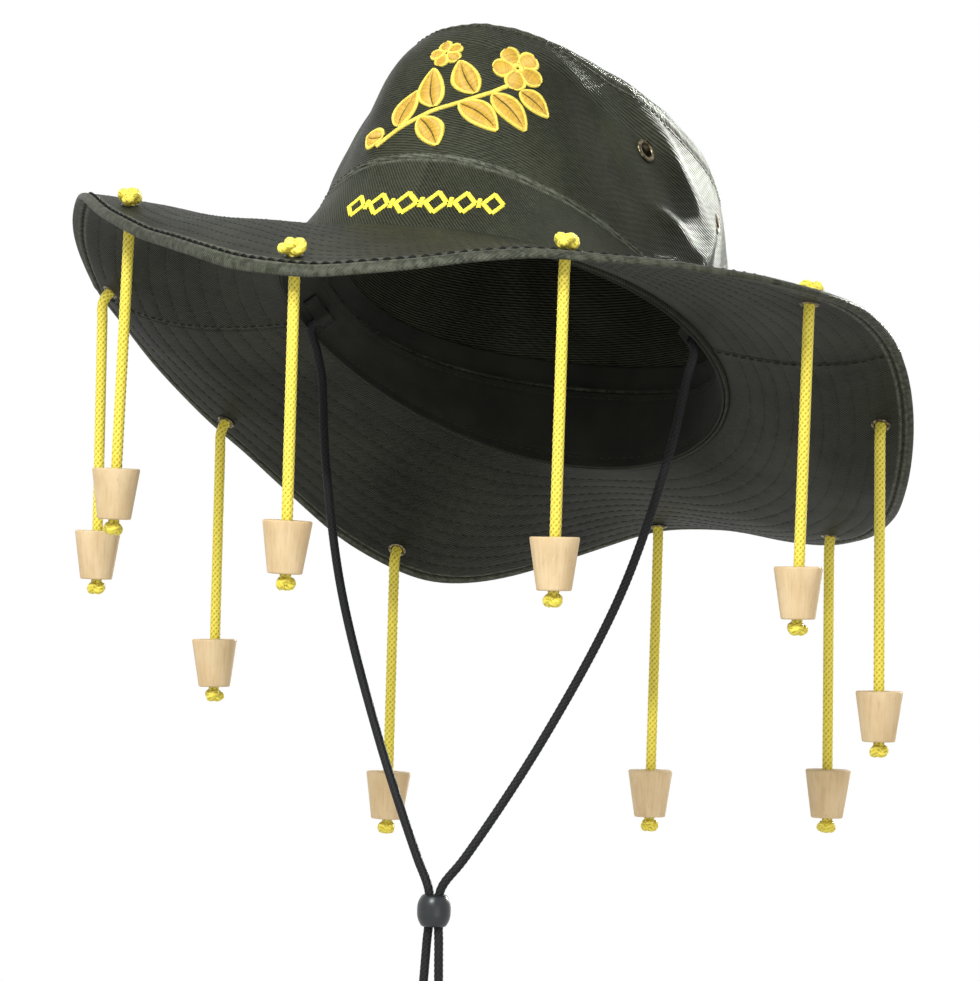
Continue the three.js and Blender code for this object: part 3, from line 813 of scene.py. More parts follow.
def cork_piece(name, number, middle, up):
    """A tapered stopper with eased edges, drilled through along its axis."""
    half = CORK_HEIGHT / 2
    bend = np.linspace(0, np.pi / 2, CORK_PROFILE_STEPS)
    rounded, flattened = CORK_EDGE * (1 - np.sin(bend)), CORK_EDGE * (1 - np.cos(bend))
    low = zip(CORK_BOTTOM_RADIUS - rounded, -half + flattened)
    high = zip(CORK_TOP_RADIUS - flattened, half - rounded)
    side = zip(CORK_BOTTOM_RADIUS + (CORK_TOP_RADIUS - CORK_BOTTOM_RADIUS) * CORK_RISES,
               -half + CORK_EDGE + (CORK_HEIGHT - 2 * CORK_EDGE) * CORK_RISES)
    bore_low = [(CORK_BORE + wider, -half + inside) for wider, inside in CORK_MOUTH]
    bore_high = [(CORK_BORE + wider, half - inside) for wider, inside in reversed(CORK_MOUTH)]
    ring_low = [(CORK_BOTTOM_RADIUS * 0.75, -half)]
    ring_high = [(CORK_TOP_RADIUS * 0.8, half), (CORK_TOP_RADIUS * 0.55, half)]
    profile = np.array([*bore_low, *ring_low, *low, *side, *high, *ring_high, *bore_high])
    across, other = turned_axes(up, CORK_SPIN * number)
    turn = full_turn(CORK_SIDES)
    uneven = 1 + 0.006 * np.sin(3 * turn + number) + 0.004 * np.sin(7 * turn + 2 * number)
    grid = turned_grid(middle, up, across, other, profile, turn, uneven)
    along = np.append(lengths_along(profile), lengths_along(profile)[-1] + CORK_HEIGHT)
    wide = np.linspace(0, 2 * np.pi * CORK_TOP_RADIUS, CORK_SIDES + 1)
    shift_wide, shift_along = (shift * number for shift in CORK_GRAIN_SHIFT)
    uv = np.stack(broadcast(wide[None, :] + shift_wide, along[:, None] + shift_along), axis=-1)
    # Painted shade inside the bore and at its mouths; darker at the lower and upper edge.
    rubbed = np.zeros(len(profile))
    rubbed[:3] = rubbed[-3:] = BORE_PAINTED_SHADE
    rubbed[4:6] = rubbed[-7:-5] = EDGE_DARKENING
    shade = np.repeat(rubbed, CORK_SIDES)
    return grid_piece(name, grid, CORK, uv, shade=shade, replaces=[f"cork_{number}"])


def tilted(vector, degrees):
    return np.array(Matrix.Rotation(math.radians(degrees), 3, "Y") @ Vector(vector))


def make_strings():
    for number, row in enumerate(STRINGS, 1):
        points, normal, down, cork_top = string_route(row)
        line = centripetal(points, STRING_RING)
        cord = cord_mesh(f"Cord_String_{number}", line, STRING_RADIUS, STRING_SIDES, STRING_PITCH,
                         YELLOW_CORD, [f"string_{number}"])
        top = knot_piece(f"Knot_Top_{number}", points[0], normal, TOP_KNOT_SPIN * number, TOP_KNOT,
                         YELLOW_CORD)
        low = knot_piece(f"Knot_Low_{number}", points[-1], -down, LOW_KNOT_SPIN * number, LOW_KNOT,
                         YELLOW_CORD)
        middle = cork_top + down * CORK_HEIGHT / 2
        cork = cork_piece(f"Cork_{number}", number, middle, tilted(-down, row[3]))
        float(lengths_along(line)[-1] * MM)


make_strings()


# Chin cord and toggle
CHIN_SIDES = 20
CHIN_RING = 0.6
CHIN_PITCH = 2.0
CHIN_STEP = 10
TOGGLE_STEPS = 19
TOGGLE_SIDES = 48
TOGGLE_TAPER = 0.28
TOGGLE_BULGE = 2.6
TOGGLE_EDGE = 0.25
# Radii of the rings on the toggle's flat ends, as shares of its own
TOGGLE_ENDS = (0.35, 0.62)
TOGGLE_BORE_CLEAR = 0.35
HOLE_SIDES = 32


def chin_start(side, level):
    angle = side * CHIN_START_ANGLE
    cover = WALL_THICKNESS + SWEATBAND_GAP + SWEATBAND_THICKNESS + CHIN_START_CLEAR + CHIN_RADIUS
    return worn(crown(angle, level) - crown_normal(angle, level) * cover)


def chin_route(side):
    """Centreline of one leg, from the sweatband over the jaw, through the toggle and down its tail."""
    mirror = np.array([side, 1, 1])
    start = [chin_start(side, level) for level in CHIN_START_LEVELS]
    leg = centripetal([*start, *(np.array(p) * mirror for p in CHIN_LEG)], CHIN_STEP)
    bore = [TOGGLE_CENTRE + np.array([side * TOGGLE_SIDE, 0, end * TOGGLE_HEIGHT / 2]) for end in (1, -1)]
    return np.array([*leg, *bore, *(np.array(p) * mirror for p in CHIN_TAIL)])


def toggle_piece():
    """A moulded bead with a flattened top and bottom and two bores for the cords."""
    half = TOGGLE_HEIGHT / 2
    steps = np.linspace(-1, 1, TOGGLE_STEPS)
    radius = TOGGLE_RADIUS * (1 - TOGGLE_TAPER * np.abs(steps) ** TOGGLE_BULGE)
    ends = [TOGGLE_RADIUS * share for share in TOGGLE_ENDS]
    rings = [(end, -half) for end in ends]
    rings += zip(radius, steps * (half - TOGGLE_EDGE))
    rings += [(end, half) for end in reversed(ends)]
    grid = turned_grid(TOGGLE_CENTRE, UP, np.array([1.0, 0, 0]), np.array([0, 1.0, 0]),
                       np.array(rings), full_turn(TOGGLE_SIDES))
    uv = np.zeros((len(rings), TOGGLE_SIDES + 1, 2))
    piece = grid_piece("Toggle_Bead", grid, TOGGLE, uv, False, replaces=["chin_toggle"])
    bore = CHIN_RADIUS + TOGGLE_BORE_CLEAR
    centres = [TOGGLE_CENTRE + np.array([side * TOGGLE_SIDE, 0, 0]) for side in (-1, 1)]
    cut_holes(piece, [(centre, UP, bore, TOGGLE_HEIGHT) for centre in centres])
    return piece


def cut_holes(piece, holes):
    """Cuts round holes, each a centre, a direction, a radius and a reach both ways in millimetres."""
    mesh = bpy.data.meshes.new("Cutter")
    edit = bmesh.new()
    for centre, direction, radius, reach in holes:
        turn = Vector((0, 0, 1)).rotation_difference(Vector(direction)).to_matrix().to_4x4()
        place = Matrix.Translation(Vector(centre) * MM) @ turn
        bmesh.ops.create_cone(edit, cap_ends=True, segments=HOLE_SIDES, radius1=radius * MM,
                              radius2=radius * MM, depth=reach * 2 * MM, matrix=place)
    edit.to_mesh(mesh)
    edit.free()
    cutter = new_object("Cutter", mesh)
    modifier = piece.modifiers.new("Holes", "BOOLEAN")
    modifier.operation = "DIFFERENCE"
    modifier.solver = "EXACT"
    modifier.use_self = True
    modifier.object = cutter
    shown = bpy.context.evaluated_depsgraph_get()
    cut = bpy.data.meshes.new_from_object(piece.evaluated_get(shown))
    piece.modifiers.remove(modifier)
    old = piece.data
    piece.data = cut
    cut.name = old.name
    bpy.data.meshes.remove(old)
    bpy.data.objects.remove(cutter)
    bpy.data.meshes.remove(mesh)


def make_chin_cord():
    toggle = toggle_piece()
    for side, word in ((1, "Left"), (-1, "Right")):
        points = chin_route(side)
        line = centripetal(points, CHIN_RING)
        node = f"chin_cord_{word.lower()}"
        cord = cord_mesh(f"Cord_Chin_{word}", line, CHIN_RADIUS, CHIN_SIDES, CHIN_PITCH,
                         BLACK_CORD, [node])
        knot = knot_piece(f"Knot_Tail_{word}", points[-1], UP, 30 + 80 * side, TAIL_KNOT,
                          BLACK_CORD)
        float(lengths_along(line)[-1] * MM)


make_chin_cord()


# Cloth relief: seams, stitch rows, soft folds and small ripples
WALL_SEAMS = (BAND_LEVEL, SEAM_LEVEL)
SEAM_WIDTH = 0.45
SEAM_DEPTH = 0.32
SEAM_SWELL = 0.30
SEAM_SWELL_PLACE = 1.5
SEAM_SWELL_WIDTH = 1.1
# Waves of the soft cloth: count round the hat, turn with height, phase
RIPPLES = [
    (7, 0.05, 0.3), (11, -0.08, 1.9), (17, 0.11, 4.2),
    (23, -0.15, 2.7), (31, 0.22, 5.1), (5, 0.03, 3.3),
]
CROWN_RIPPLE = 0.45
# Small puckers that the stitches make: depth, and radians of them in one radian round the hat
PUCKER_DEPTH = 0.35
CROWN_PUCKERS = 62
BRIM_PUCKERS = 74
# Folds of the crown: angle, level, turn of the ridge from level, half length, half width, height
CROWN_FOLDS = [
    (78, 3.0, -26, 25, 5.5, 2.6),
    (71, 2.55, -26, 22, 6.0, -1.7),
    (59, 1.9, 10, 18, 8.0, -1.6),
    (77, 1.95, 4, 15, 3.4, 1.9),
    (84, 1.6, 14, 16, 4.5, -1.4),
    (94, 2.2, 62, 20, 4.5, 1.7),
    (102, 2.6, 70, 20, 4.0, -1.5),
    (112, 1.9, 50, 20, 5.0, 1.5),
    (22, 1.7, -18, 19, 7.0, 1.3),
    (48, 2.6, -42, 16, 7.0, -1.8),
    (36, 3.3, -10, 15, 5.0, 1.1),
    (-14, 1.5, 20, 18, 8.0, 0.9),
    (-24, 2.1, -65, 24, 9, 0.8),
    (-48, 2.4, -60, 26, 8, -1.4),
    (-66, 1.8, -20, 20, 5, 1.4),
    (-80, 3.0, -75, 22, 6, 1.4),
    (-95, 1.8, -50, 24, 6, -1.3),
    (130, 2.5, 65, 26, 8, -1.4),
    (146, 1.7, -50, 22, 6, 1.5),
    (168, 2.7, 80, 26, 8, -1.3),
    (-170, 1.9, 30, 24, 6, 1.5),
    (-150, 2.4, 62, 26, 7, -1.4),
    (-126, 2.3, -60, 24, 6, 1.5),
    (-112, 3.1, -30, 20, 5, -1.3),
]
LEVEL_LENGTHS = [29, 27, 23, 12, 8, 17, 24]
CROWN_ROUND_LENGTH = 560


def level_length(level):
    """Millimetres up the cloth from the base seam to a level."""
    marks = np.concatenate([[0], np.cumsum(LEVEL_LENGTHS)])
    return np.interp(level, np.arange(len(marks)), marks) + np.minimum(level, 0) * BRIM_THICKNESS


def seam_relief(distance):
    valley = -SEAM_DEPTH * bell(distance / SEAM_WIDTH)
    return valley + SEAM_SWELL * bell((np.abs(distance) - SEAM_SWELL_PLACE) / SEAM_SWELL_WIDTH)


def ripples(angle, height, size):
    """Small unevenness of soft cloth, the same at both ends of a turn."""
    turn = np.radians(angle)
    total = sum(np.sin(n * turn + k * height + p) / (1 + 0.06 * n) for n, k, p in RIPPLES)
    return size * total / len(RIPPLES) * 2


def crown_relief(angle, level):
    angle, level = broadcast(angle, level)
    height = level_length(level)
    around = CROWN_ROUND_LENGTH / 360
    relief = ripples(angle, height, CROWN_RIPPLE) * np.clip(level / 0.5, 0, 1)
    for place, at, turn_deg, length, width, size in CROWN_FOLDS:
        a = turn_from(angle, place) * around
        b = height - level_length(at)
        t = math.radians(turn_deg)
        along = a * math.cos(t) + b * math.sin(t)
        across = b * math.cos(t) - a * math.sin(t)
        relief = relief + size * bell(along / length) * bell(across / width)
    for seam in WALL_SEAMS:
        distance = height - level_length(seam)
        pucker = 1 + PUCKER_DEPTH * np.sin(np.radians(angle) * CROWN_PUCKERS + seam)
        relief = relief + seam_relief(distance) * pucker
    return relief


def crown_face(angle, level, depth=0.0):
    """Points of the dressed crown below its outer face, and their outward normals."""
    angle, level = broadcast(angle, level)
    normal = crown_normal(angle, level)
    lift = crown_relief(angle, level) - depth
    return crown(angle, level) + normal * lift[..., None], normal


# Stitch rows of the brim, as shares of its width, and how far they draw the cloth in
MEAN_BRIM_WIDTH = 80
MEAN_BASE_RADIUS = 88
RIM_ROW = 3.0
ROW_SPACING = 6.6
ROW_COUNT = 11
BRIM_ROWS = [1 - (RIM_ROW + ROW_SPACING * k) / MEAN_BRIM_WIDTH for k in range(ROW_COUNT)]
ROW_DRAWS = {1: 0.12, -1: 0.26}
RIM_DRAW = 0.55
BASE_DRAW = 0.5
HEM_SWELL = 0.35
BRIM_RIPPLE = 0.8
SIDE_SEAMS = (90, -90)
SIDE_SEAM_DRAW = 0.35
SIDE_SEAM_SWELL = 0.22
# Edge of the brim turned down in front: middle and half width in degrees, width and depth in millimetres
FRONT_ROLL = (-3, 40, 4.2, 2.3)


def brim_draw(angle, share, side):
    """How far each face of the brim is drawn in by its stitching, in millimetres."""
    wide = share * MEAN_BRIM_WIDTH
    drawn = RIM_DRAW * bell((wide - BRIM_ROWS[0] * MEAN_BRIM_WIDTH) / 0.65)
    pucker = 0.75 + PUCKER_DEPTH * np.sin(np.radians(angle) * BRIM_PUCKERS + share * 9)
    for row in BRIM_ROWS[1:]:
        drawn = drawn + ROW_DRAWS[side] * pucker * bell((wide - row * MEAN_BRIM_WIDTH) / 1.1)
    drawn = drawn - HEM_SWELL * bell((wide - MEAN_BRIM_WIDTH + 1.2) / 1.6)
    reach = np.radians(1) * (MEAN_BASE_RADIUS + wide)
    for seam in SIDE_SEAMS:
        offset = turn_from(angle, seam) * reach
        drawn = drawn + SIDE_SEAM_DRAW * bell(offset / 0.5) - SIDE_SEAM_SWELL * bell((offset - 2.6) / 1.8)
    return drawn + BASE_DRAW * bell(wide / 0.8)


def front_roll(angle, share):
    """How far the brim's edge is turned down in front, in millimetres."""
    middle, half, width, depth = FRONT_ROLL
    past = np.clip((share * MEAN_BRIM_WIDTH - MEAN_BRIM_WIDTH + width) / width, 0, 1.2)
    return depth * bell(turn_from(angle, middle) / half) * past ** 1.6


def brim_face(angle, share, side):
    """Points on the dressed brim's top (side 1) or underside (side -1), and their outward normals."""
    angle, share = broadcast(angle, share)
    up = brim_normal(angle, share)
    drawn = brim_draw(angle, share, side)
    wave = ripples(angle, share * MEAN_BRIM_WIDTH, BRIM_RIPPLE) * share - front_roll(angle, share)
    lift = wave - drawn if side > 0 else wave - BRIM_THICKNESS + drawn
    return brim(angle, share) + up * lift[..., None], up * side


# Cloth shells
EDGE_STEPS = np.radians([25, 60, 90, 120, 155])
EDGE_LENGTHS = np.array([0.4, 1.0, 1.5, 1.0, 0.4])


def edge_rows(outer, inner, beyond):
    """Rounded rows from one face's edge to the other's; beyond is the unit direction past the edge."""
    middle, half = (outer + inner) / 2, (outer - inner) / 2
    size = np.linalg.norm(half, axis=-1, keepdims=True)
    return [middle + half * math.cos(a) + beyond * size * math.sin(a) for a in EDGE_STEPS]


def cloth_loop(outer, inner):
    """Rows right round a cloth sheet, from two grids of its faces, and the source row of each."""
    last = len(outer) - 1
    far = edge_rows(outer[-1], inner[-1], unit(outer[-1] - outer[-2]))
    near = edge_rows(inner[0], outer[0], unit(outer[0] - outer[1]))
    source = [*range(last + 1), *[last] * len(far), *range(last, -1, -1), *[0] * len(near)]
    return np.array([*outer, *far, *inner[::-1], *near]), source


def loop_lengths(lengths, source):
    """Lengths across the cloth for the rows of a loop, its first one repeated at the end."""
    values, last = lengths[source], len(lengths) - 1
    values[last + 1:last + 1 + len(EDGE_LENGTHS)] += EDGE_LENGTHS
    values[-len(EDGE_LENGTHS):] -= EDGE_LENGTHS
    return np.append(values, values[0])


def ring_angles(count, extra=()):
    return np.sort(np.mod(np.concatenate([np.arange(count) * 360 / count, *extra]), 360))


def dense_near(start, end, step, marks, spread=3.2, fine=0.4):
    """Values from start to end, closer together near marks."""
    values, at = [start], start
    while at < end:
        near = min(abs(at - m) for m in marks)
        at += fine if near < spread else step
        values.append(min(at, end))
    return np.array(values)


def levels_from_lengths(lengths):
    marks = np.concatenate([[0], np.cumsum(LEVEL_LENGTHS)])
    return np.interp(lengths, marks, np.arange(len(marks)))


CROWN_RING = 340
# Wear beside the crown's seams: distance from the seam, width and strength
SEAM_WEAR = (0.9, 0.8, 0.8)


def strip_uv(angles, levels, source):
    wide = np.append(angles, 360) / 360 * CROWN_ROUND_LENGTH
    return np.stack(broadcast(wide[None, :], loop_lengths(level_length(levels), source)[:, None]), axis=-1)


def crown_strip(name, levels, thickness, look, node, wear_marks):
    angles = ring_angles(CROWN_RING)
    angle, level = np.meshgrid(angles, levels)
    outer, _ = crown_face(angle, level)
    inner, _ = crown_face(angle, level, thickness)
    loop, source = cloth_loop(outer, inner)
    heights = level_length(levels)[source]
    uv = strip_uv(angles, levels, source)
    past, width, strength = SEAM_WEAR
    worn_rows = sum(bell((np.abs(heights - mark) - past) / width) for mark in wear_marks)
    shade = np.repeat(np.clip(worn_rows, 0, 1) * strength, len(angles))
    return grid_piece(name, worn(loop), look, uv, shade=shade, replaces=[node])


def vent_spots():
    for name, angle, level in VENT_PLACES:
        point, normal = crown_face(angle, level)
        yield name, worn(point), worn(normal)


# Holes cut for the eyelets: radius, reach both ways
VENT_HOLE = (3.4, 6)
BRIM_HOLE = (2.55, 5)
STRIP_STEP = 1.6
TIP_STEP = 1.8


def make_crown_wall():
    low, high = level_length(BAND_LEVEL), level_length(SEAM_LEVEL)
    lengths = dense_near(low, high, STRIP_STEP, [low, high])
    wall = crown_strip("Crown_Wall", levels_from_lengths(lengths), WALL_THICKNESS, WALL_TWILL,
                       "crown_wall", [low, high])
    half = WALL_THICKNESS / 2
    cut_holes(wall, [(point - normal * half, normal, *VENT_HOLE) for _, point, normal in vent_spots()])


def make_crown_band():
    top = level_length(BAND_LEVEL)
    lengths = dense_near(0, top, STRIP_STEP, [0, top])
    levels = np.concatenate([[-1, -0.5], levels_from_lengths(lengths)])
    crown_strip("Crown_Band", levels, WALL_THICKNESS, BAND_TWILL, "crown_band", [top])


CENTRE_SHARES = [0.85, 0.68, 0.5, 0.33, 0.17]
# Wear of the tip's outer edge: its row up from the seam, rows over which it fades, strength
RIDGE_ROW = 5
RIDGE_ROWS_WORN = 2.5
RIDGE_WEAR = 0.8
CREASE_MIDDLE = np.array([0.0, -2.0, CREASE_FLOOR_Z + 0.5])


def make_crown_tip():
    """Top panel: over the ridge, down into the crease and across its floor."""
    start, end = level_length(SEAM_LEVEL), level_length(CREASE_LEVEL)
    levels = levels_from_lengths(dense_near(start, end, TIP_STEP, [start]))
    angles = ring_angles(CROWN_RING)
    angle, level = np.meshgrid(angles, levels)
    outer, _ = crown_face(angle, level)
    ring = outer[-1]
    centre = CREASE_MIDDLE
    floor = [centre + (ring - centre) * np.array([s, s, s * s * (3 - 2 * s)]) for s in CENTRE_SHARES]
    outer = np.concatenate([outer, floor])
    around = np.roll(outer, -1, 1) - np.roll(outer, 1, 1)
    normal = unit(np.cross(around, np.gradient(outer, axis=0)))
    inner = outer - normal * TIP_THICKNESS
    near = edge_rows(inner[0], outer[0], unit(outer[0] - outer[1]))
    grid = np.array([*outer[::-1], *near[::-1], *inner])
    columns = len(angles)
    faces, corners = grid_faces(len(grid), columns, False)
    points = np.concatenate([grid.reshape(-1, 3), [centre, centre - [0, 0, TIP_THICKNESS]]])
    first, last = len(points) - 2, len(points) - 1
    base = (len(grid) - 1) * columns
    caps = [[c, (c + 1) % columns, first] for c in range(columns)]
    caps += [[base + (c + 1) % columns, base + c, last] for c in range(columns)]
    flat = np.concatenate([grid, grid[:, :1]], axis=1)[..., :2].reshape(-1, 2)
    uv = np.concatenate([flat[corners].reshape(-1, 2), points[np.array(caps).ravel()][:, :2]])
    past_ridge = np.abs(np.arange(len(grid)) - (len(outer) - RIDGE_ROW))
    shade = np.append(np.repeat(bell(past_ridge / RIDGE_ROWS_WORN) * RIDGE_WEAR, columns), [0, 0])
    add_piece("Crown_Tip", worn(points), faces.tolist() + caps, TIP_TWILL, uv, shade,
              replaces=["crown_tip"])


BRIM_RING = 330
SEAM_OFFSETS = (-1.1, -0.7, -0.35, -0.15, 0.15, 0.35, 0.7, 1.1, 1.6)
# Rings of the brim's mesh, in millimetres: out from the base, round each stitch row, in from the edge
BASE_RINGS = (0.0, 0.6, 1.4, 2.6, 4.5, 7.0)
STITCH_RINGS = (-2.2, -1.1, -0.5, 0, 0.5, 1.1, 2.2)
EDGE_RINGS = (0.8, 0.35, 0)
BASE_UV_REACH = 90
EDGE_WEAR = 0.6
RIM_WEAR = 0.9


def make_brim():
    angles = ring_angles(BRIM_RING, [[a + d for d in SEAM_OFFSETS] for a in SIDE_SEAMS])
    wide = [*BASE_RINGS]
    for row in reversed(BRIM_ROWS):
        wide += [row * MEAN_BRIM_WIDTH + d for d in STITCH_RINGS]
    wide += [MEAN_BRIM_WIDTH - d for d in EDGE_RINGS]
    shares = np.array(wide) / MEAN_BRIM_WIDTH
    angle, share = np.meshgrid(angles, shares)
    outer, _ = brim_face(angle, share, 1)
    inner, _ = brim_face(angle, share, -1)
    loop, source = cloth_loop(outer, inner)
    turn = np.radians(np.append(angles, angles[0] + 360))
    reach = (BASE_UV_REACH + loop_lengths(np.array(wide), source))[:, None]
    uv = np.stack([np.sin(turn) * reach, -np.cos(turn) * reach], axis=-1)
    from_edge = MEAN_BRIM_WIDTH - np.array(wide)[source]
    at_edge, beside_row = bell(from_edge / 1.2), bell((np.abs(from_edge - RIM_ROW) - 1.1) / 0.5)
    shade = np.repeat(np.clip(EDGE_WEAR * at_edge + beside_row, 0, 1) * RIM_WEAR, len(angles))
    piece = grid_piece("Brim", worn(loop), BRIM_TWILL, uv, shade=shade, replaces=["brim"])
    cut_holes(piece, [(*worn_string_place(row[0]), *BRIM_HOLE) for row in STRINGS])


SWEATBAND_STEPS = 22
HEM_PULL = 0.25
SWEATBAND_RIPPLE = 0.18


def make_sweatband():
    """Strip inside the head opening, standing off the band and turned over at both edges."""
    cover = WALL_THICKNESS + SWEATBAND_GAP
    top = SWEATBAND_TOP_LEVEL
    levels = np.concatenate([[-1, -0.5, 0], np.linspace(0.05, top, SWEATBAND_STEPS)])
    angles = ring_angles(CROWN_RING)
    angle, level = np.meshgrid(angles, levels)
    height = level_length(level)
    pull = HEM_PULL * (bell((height - level_length(top) + 2.0) / 0.8) + bell((height - 1.5) / 0.8))
    soft = ripples(angle + 40, height * 1.7, SWEATBAND_RIPPLE)
    outer = crown(angle, level) - crown_normal(angle, level) * cover
    inner = outer - crown_normal(angle, level) * (SWEATBAND_THICKNESS + soft - pull)[..., None]
    loop, source = cloth_loop(outer, inner)
    uv = strip_uv(angles, levels, source)
    grid_piece("Sweatband", worn(loop), LINING, uv, shade=np.zeros(loop.size // 3),
               replaces=["sweatband"])


# Tapes: name, level of the middle, half width in millimetres
TAPES = [("Tape_Band_Seam", BAND_LEVEL + 0.16, 4.5), ("Tape_Tip_Seam", SEAM_LEVEL, 4.0)]
TAPE_SHARES = np.array([-1, -0.8, -0.3, 0.3, 0.8, 1])
TAPE_RING = 240
TAPE_SINK = 0.2
TAPE_THICKNESS = 0.75


def make_inner_tapes():
    """Bias tape that covers the seams inside the crown."""
    angles = ring_angles(TAPE_RING)
    for name, level, half in TAPES:
        levels = levels_from_lengths(level_length(level) + half * TAPE_SHARES)
        angle, grid_level = np.meshgrid(angles, levels)
        outer, normal = crown_face(angle, grid_level, WALL_THICKNESS - TAPE_SINK)
        inner = outer - normal * TAPE_THICKNESS
        loop, source = cloth_loop(outer, inner)
        uv = strip_uv(angles, levels, source)
        grid_piece(name, worn(loop), LINING, uv, shade=np.zeros(loop.size // 3))


# Threads laid on the cloth
THREAD_RINGS = np.array([0.0, 0.12, 0.5, 0.88, 1.0])
THREAD_RISE = np.array([-0.6, 0.35, 1.0, 0.35, -0.6])
THREAD_SIZE = np.array([0.6, 0.9, 1.0, 0.9, 0.6])
THREAD_SHADES = (0.25, 0.75)
# Stitches of each seam: pitch and length in millimetres
ROW_STITCH = (3.7, 2.7)
RIM_STITCH = (4.5, 3.5)
SIDE_STITCH = (3.4, 2.5)
CROWN_STITCH = (3.2, 2.4)
SWEATBAND_STITCH = (3.4, 2.4)
TAB_STITCH = (1.9, 1.35)
# Radii of their threads
ROW_THREAD = 0.11
SIDE_THREAD = 0.22
CROWN_THREAD = 0.16
SWEATBAND_THREAD = 0.22
TAB_THREAD = 0.2
ROW_RISE = 0.1
SEAM_CLEAR = 1.9
HOLE_CLEAR = 5.5
SWEATBAND_HEM = 2.0
SWEATBAND_LOW_LEVEL = 0.05
THREAD_SINK = 0.3
# Side seam stitches: distance from the seam, length of a degree at the brim's base and what the edge adds
SIDE_STITCH_OFFSET = 1.6
BASE_DEGREE = 1.5
EDGE_DEGREE = 1.4
# Thread and radius of the rim's stitches on the top (1) and the underside (-1)
RIM_THREADS = {1: (TOPSTITCH_THREAD, 0.6), -1: (SEWING_THREAD, 0.3)}


def thread_piece(name, threads, radius, look, seed, sides=5, rise=None):
    """Short threads, arched up out of the cloth, as one piece; threads has their starts, ends and ups."""
    starts, ends, ups = threads
    ups = unit(ups)
    count, rings = len(starts), len(THREAD_RINGS)
    shades = np.random.default_rng(seed).uniform(*THREAD_SHADES, count)
    rise = radius if rise is None else rise
    direction = unit(ends - starts)
    side = unit(np.cross(direction, ups))
    line = starts[:, None] + (ends - starts)[:, None] * THREAD_RINGS[None, :, None]
    line = line + ups[:, None] * (THREAD_RISE * rise)[None, :, None]
    angle = 2 * np.pi * np.arange(sides) / sides + np.pi / 2
    ring = np.cos(angle)[None, :, None] * side[:, None] + np.sin(angle)[None, :, None] * ups[:, None]
    sizes = (THREAD_SIZE * radius)[None, :, None, None]
    points = line[:, :, None] + ring[:, None] * sizes
    one, _ = grid_faces(rings, sides, False)
    base = (np.arange(count) * rings * sides)[:, None]
    quads = (one[None] + base[..., None]).reshape(-1, 4)
    caps = np.concatenate([np.arange(sides) + base, np.arange(sides) + base + (rings - 1) * sides])
    shade = np.repeat(shades, rings * sides)
    faces = quads.tolist() + caps.tolist()
    return add_piece(name, worn(points.reshape(-1, 3)), faces, look, shade=shade)


def run_stitches(line, normals, pitch, length, closed=True):
    """Starts, ends and ups of stitches of one pitch along a line of points."""
    if closed:
        line, normals = np.concatenate([line, line[:1]]), np.concatenate([normals, normals[:1]])
    along = lengths_along(line)
    count = int(along[-1] / pitch)
    first = np.arange(count) * along[-1] / count
    starts, ends = (read_at(first + past, along, line) for past in (0, length))
    return starts, ends, read_at(first + length / 2, along, normals)


def away_from_holes(starts):
    holes = np.array([string_place(row[0])[0] for row in STRINGS])
    gap = np.linalg.norm(starts[:, None] - holes[None], axis=-1).min(axis=1)
    return gap > HOLE_CLEAR


RING_ANGLES = np.linspace(0, 360, 900, endpoint=False)
SEAM_SHARES = np.linspace(0.03, 0.95, 200)


def make_brim_stitches():
    beside_seam = SIDE_STITCH_OFFSET / (BASE_DEGREE + EDGE_DEGREE * SEAM_SHARES)
    for side, word in ((1, "Top"), (-1, "Under")):
        rows = [brim_face(RING_ANGLES, share, side) for share in BRIM_ROWS[1:]]
        threads = joined([run_stitches(*row, *ROW_STITCH) for row in rows])
        keep = away_from_holes(threads[0])
        thread_piece(f"Stitches_Brim_{word}", [part[keep] for part in threads], ROW_THREAD,
                     SEWING_THREAD, 3 + side, sides=4, rise=ROW_RISE)
        threads = run_stitches(*brim_face(RING_ANGLES, BRIM_ROWS[0], side), *RIM_STITCH)
        look, radius = RIM_THREADS[side]
        thread_piece(f"Stitches_Rim_{word}", threads, radius, look, 9 + side)
        seams = [brim_face(seam + beside_seam, SEAM_SHARES, side) for seam in SIDE_SEAMS]
        threads = joined([run_stitches(*seam, *SIDE_STITCH, closed=False) for seam in seams])
        thread_piece(f"Stitches_Side_Seams_{word}", threads, SIDE_THREAD, SEWING_THREAD, 19 + side)


# Tabs that hold the chin cord's upper ends against the sweatband
TAB_HALF_WIDTH_DEG = 6.0
TAB_LENGTHS = (6.0, 16.5)
TAB_THICKNESS = 0.9
TAB_COLUMNS = 41
TAB_ROWS = 14
TAB_SEAM_COLUMNS = (3, 37)
TAB_CORD_CLEAR = 0.2
TAB_LIFT = 0.1


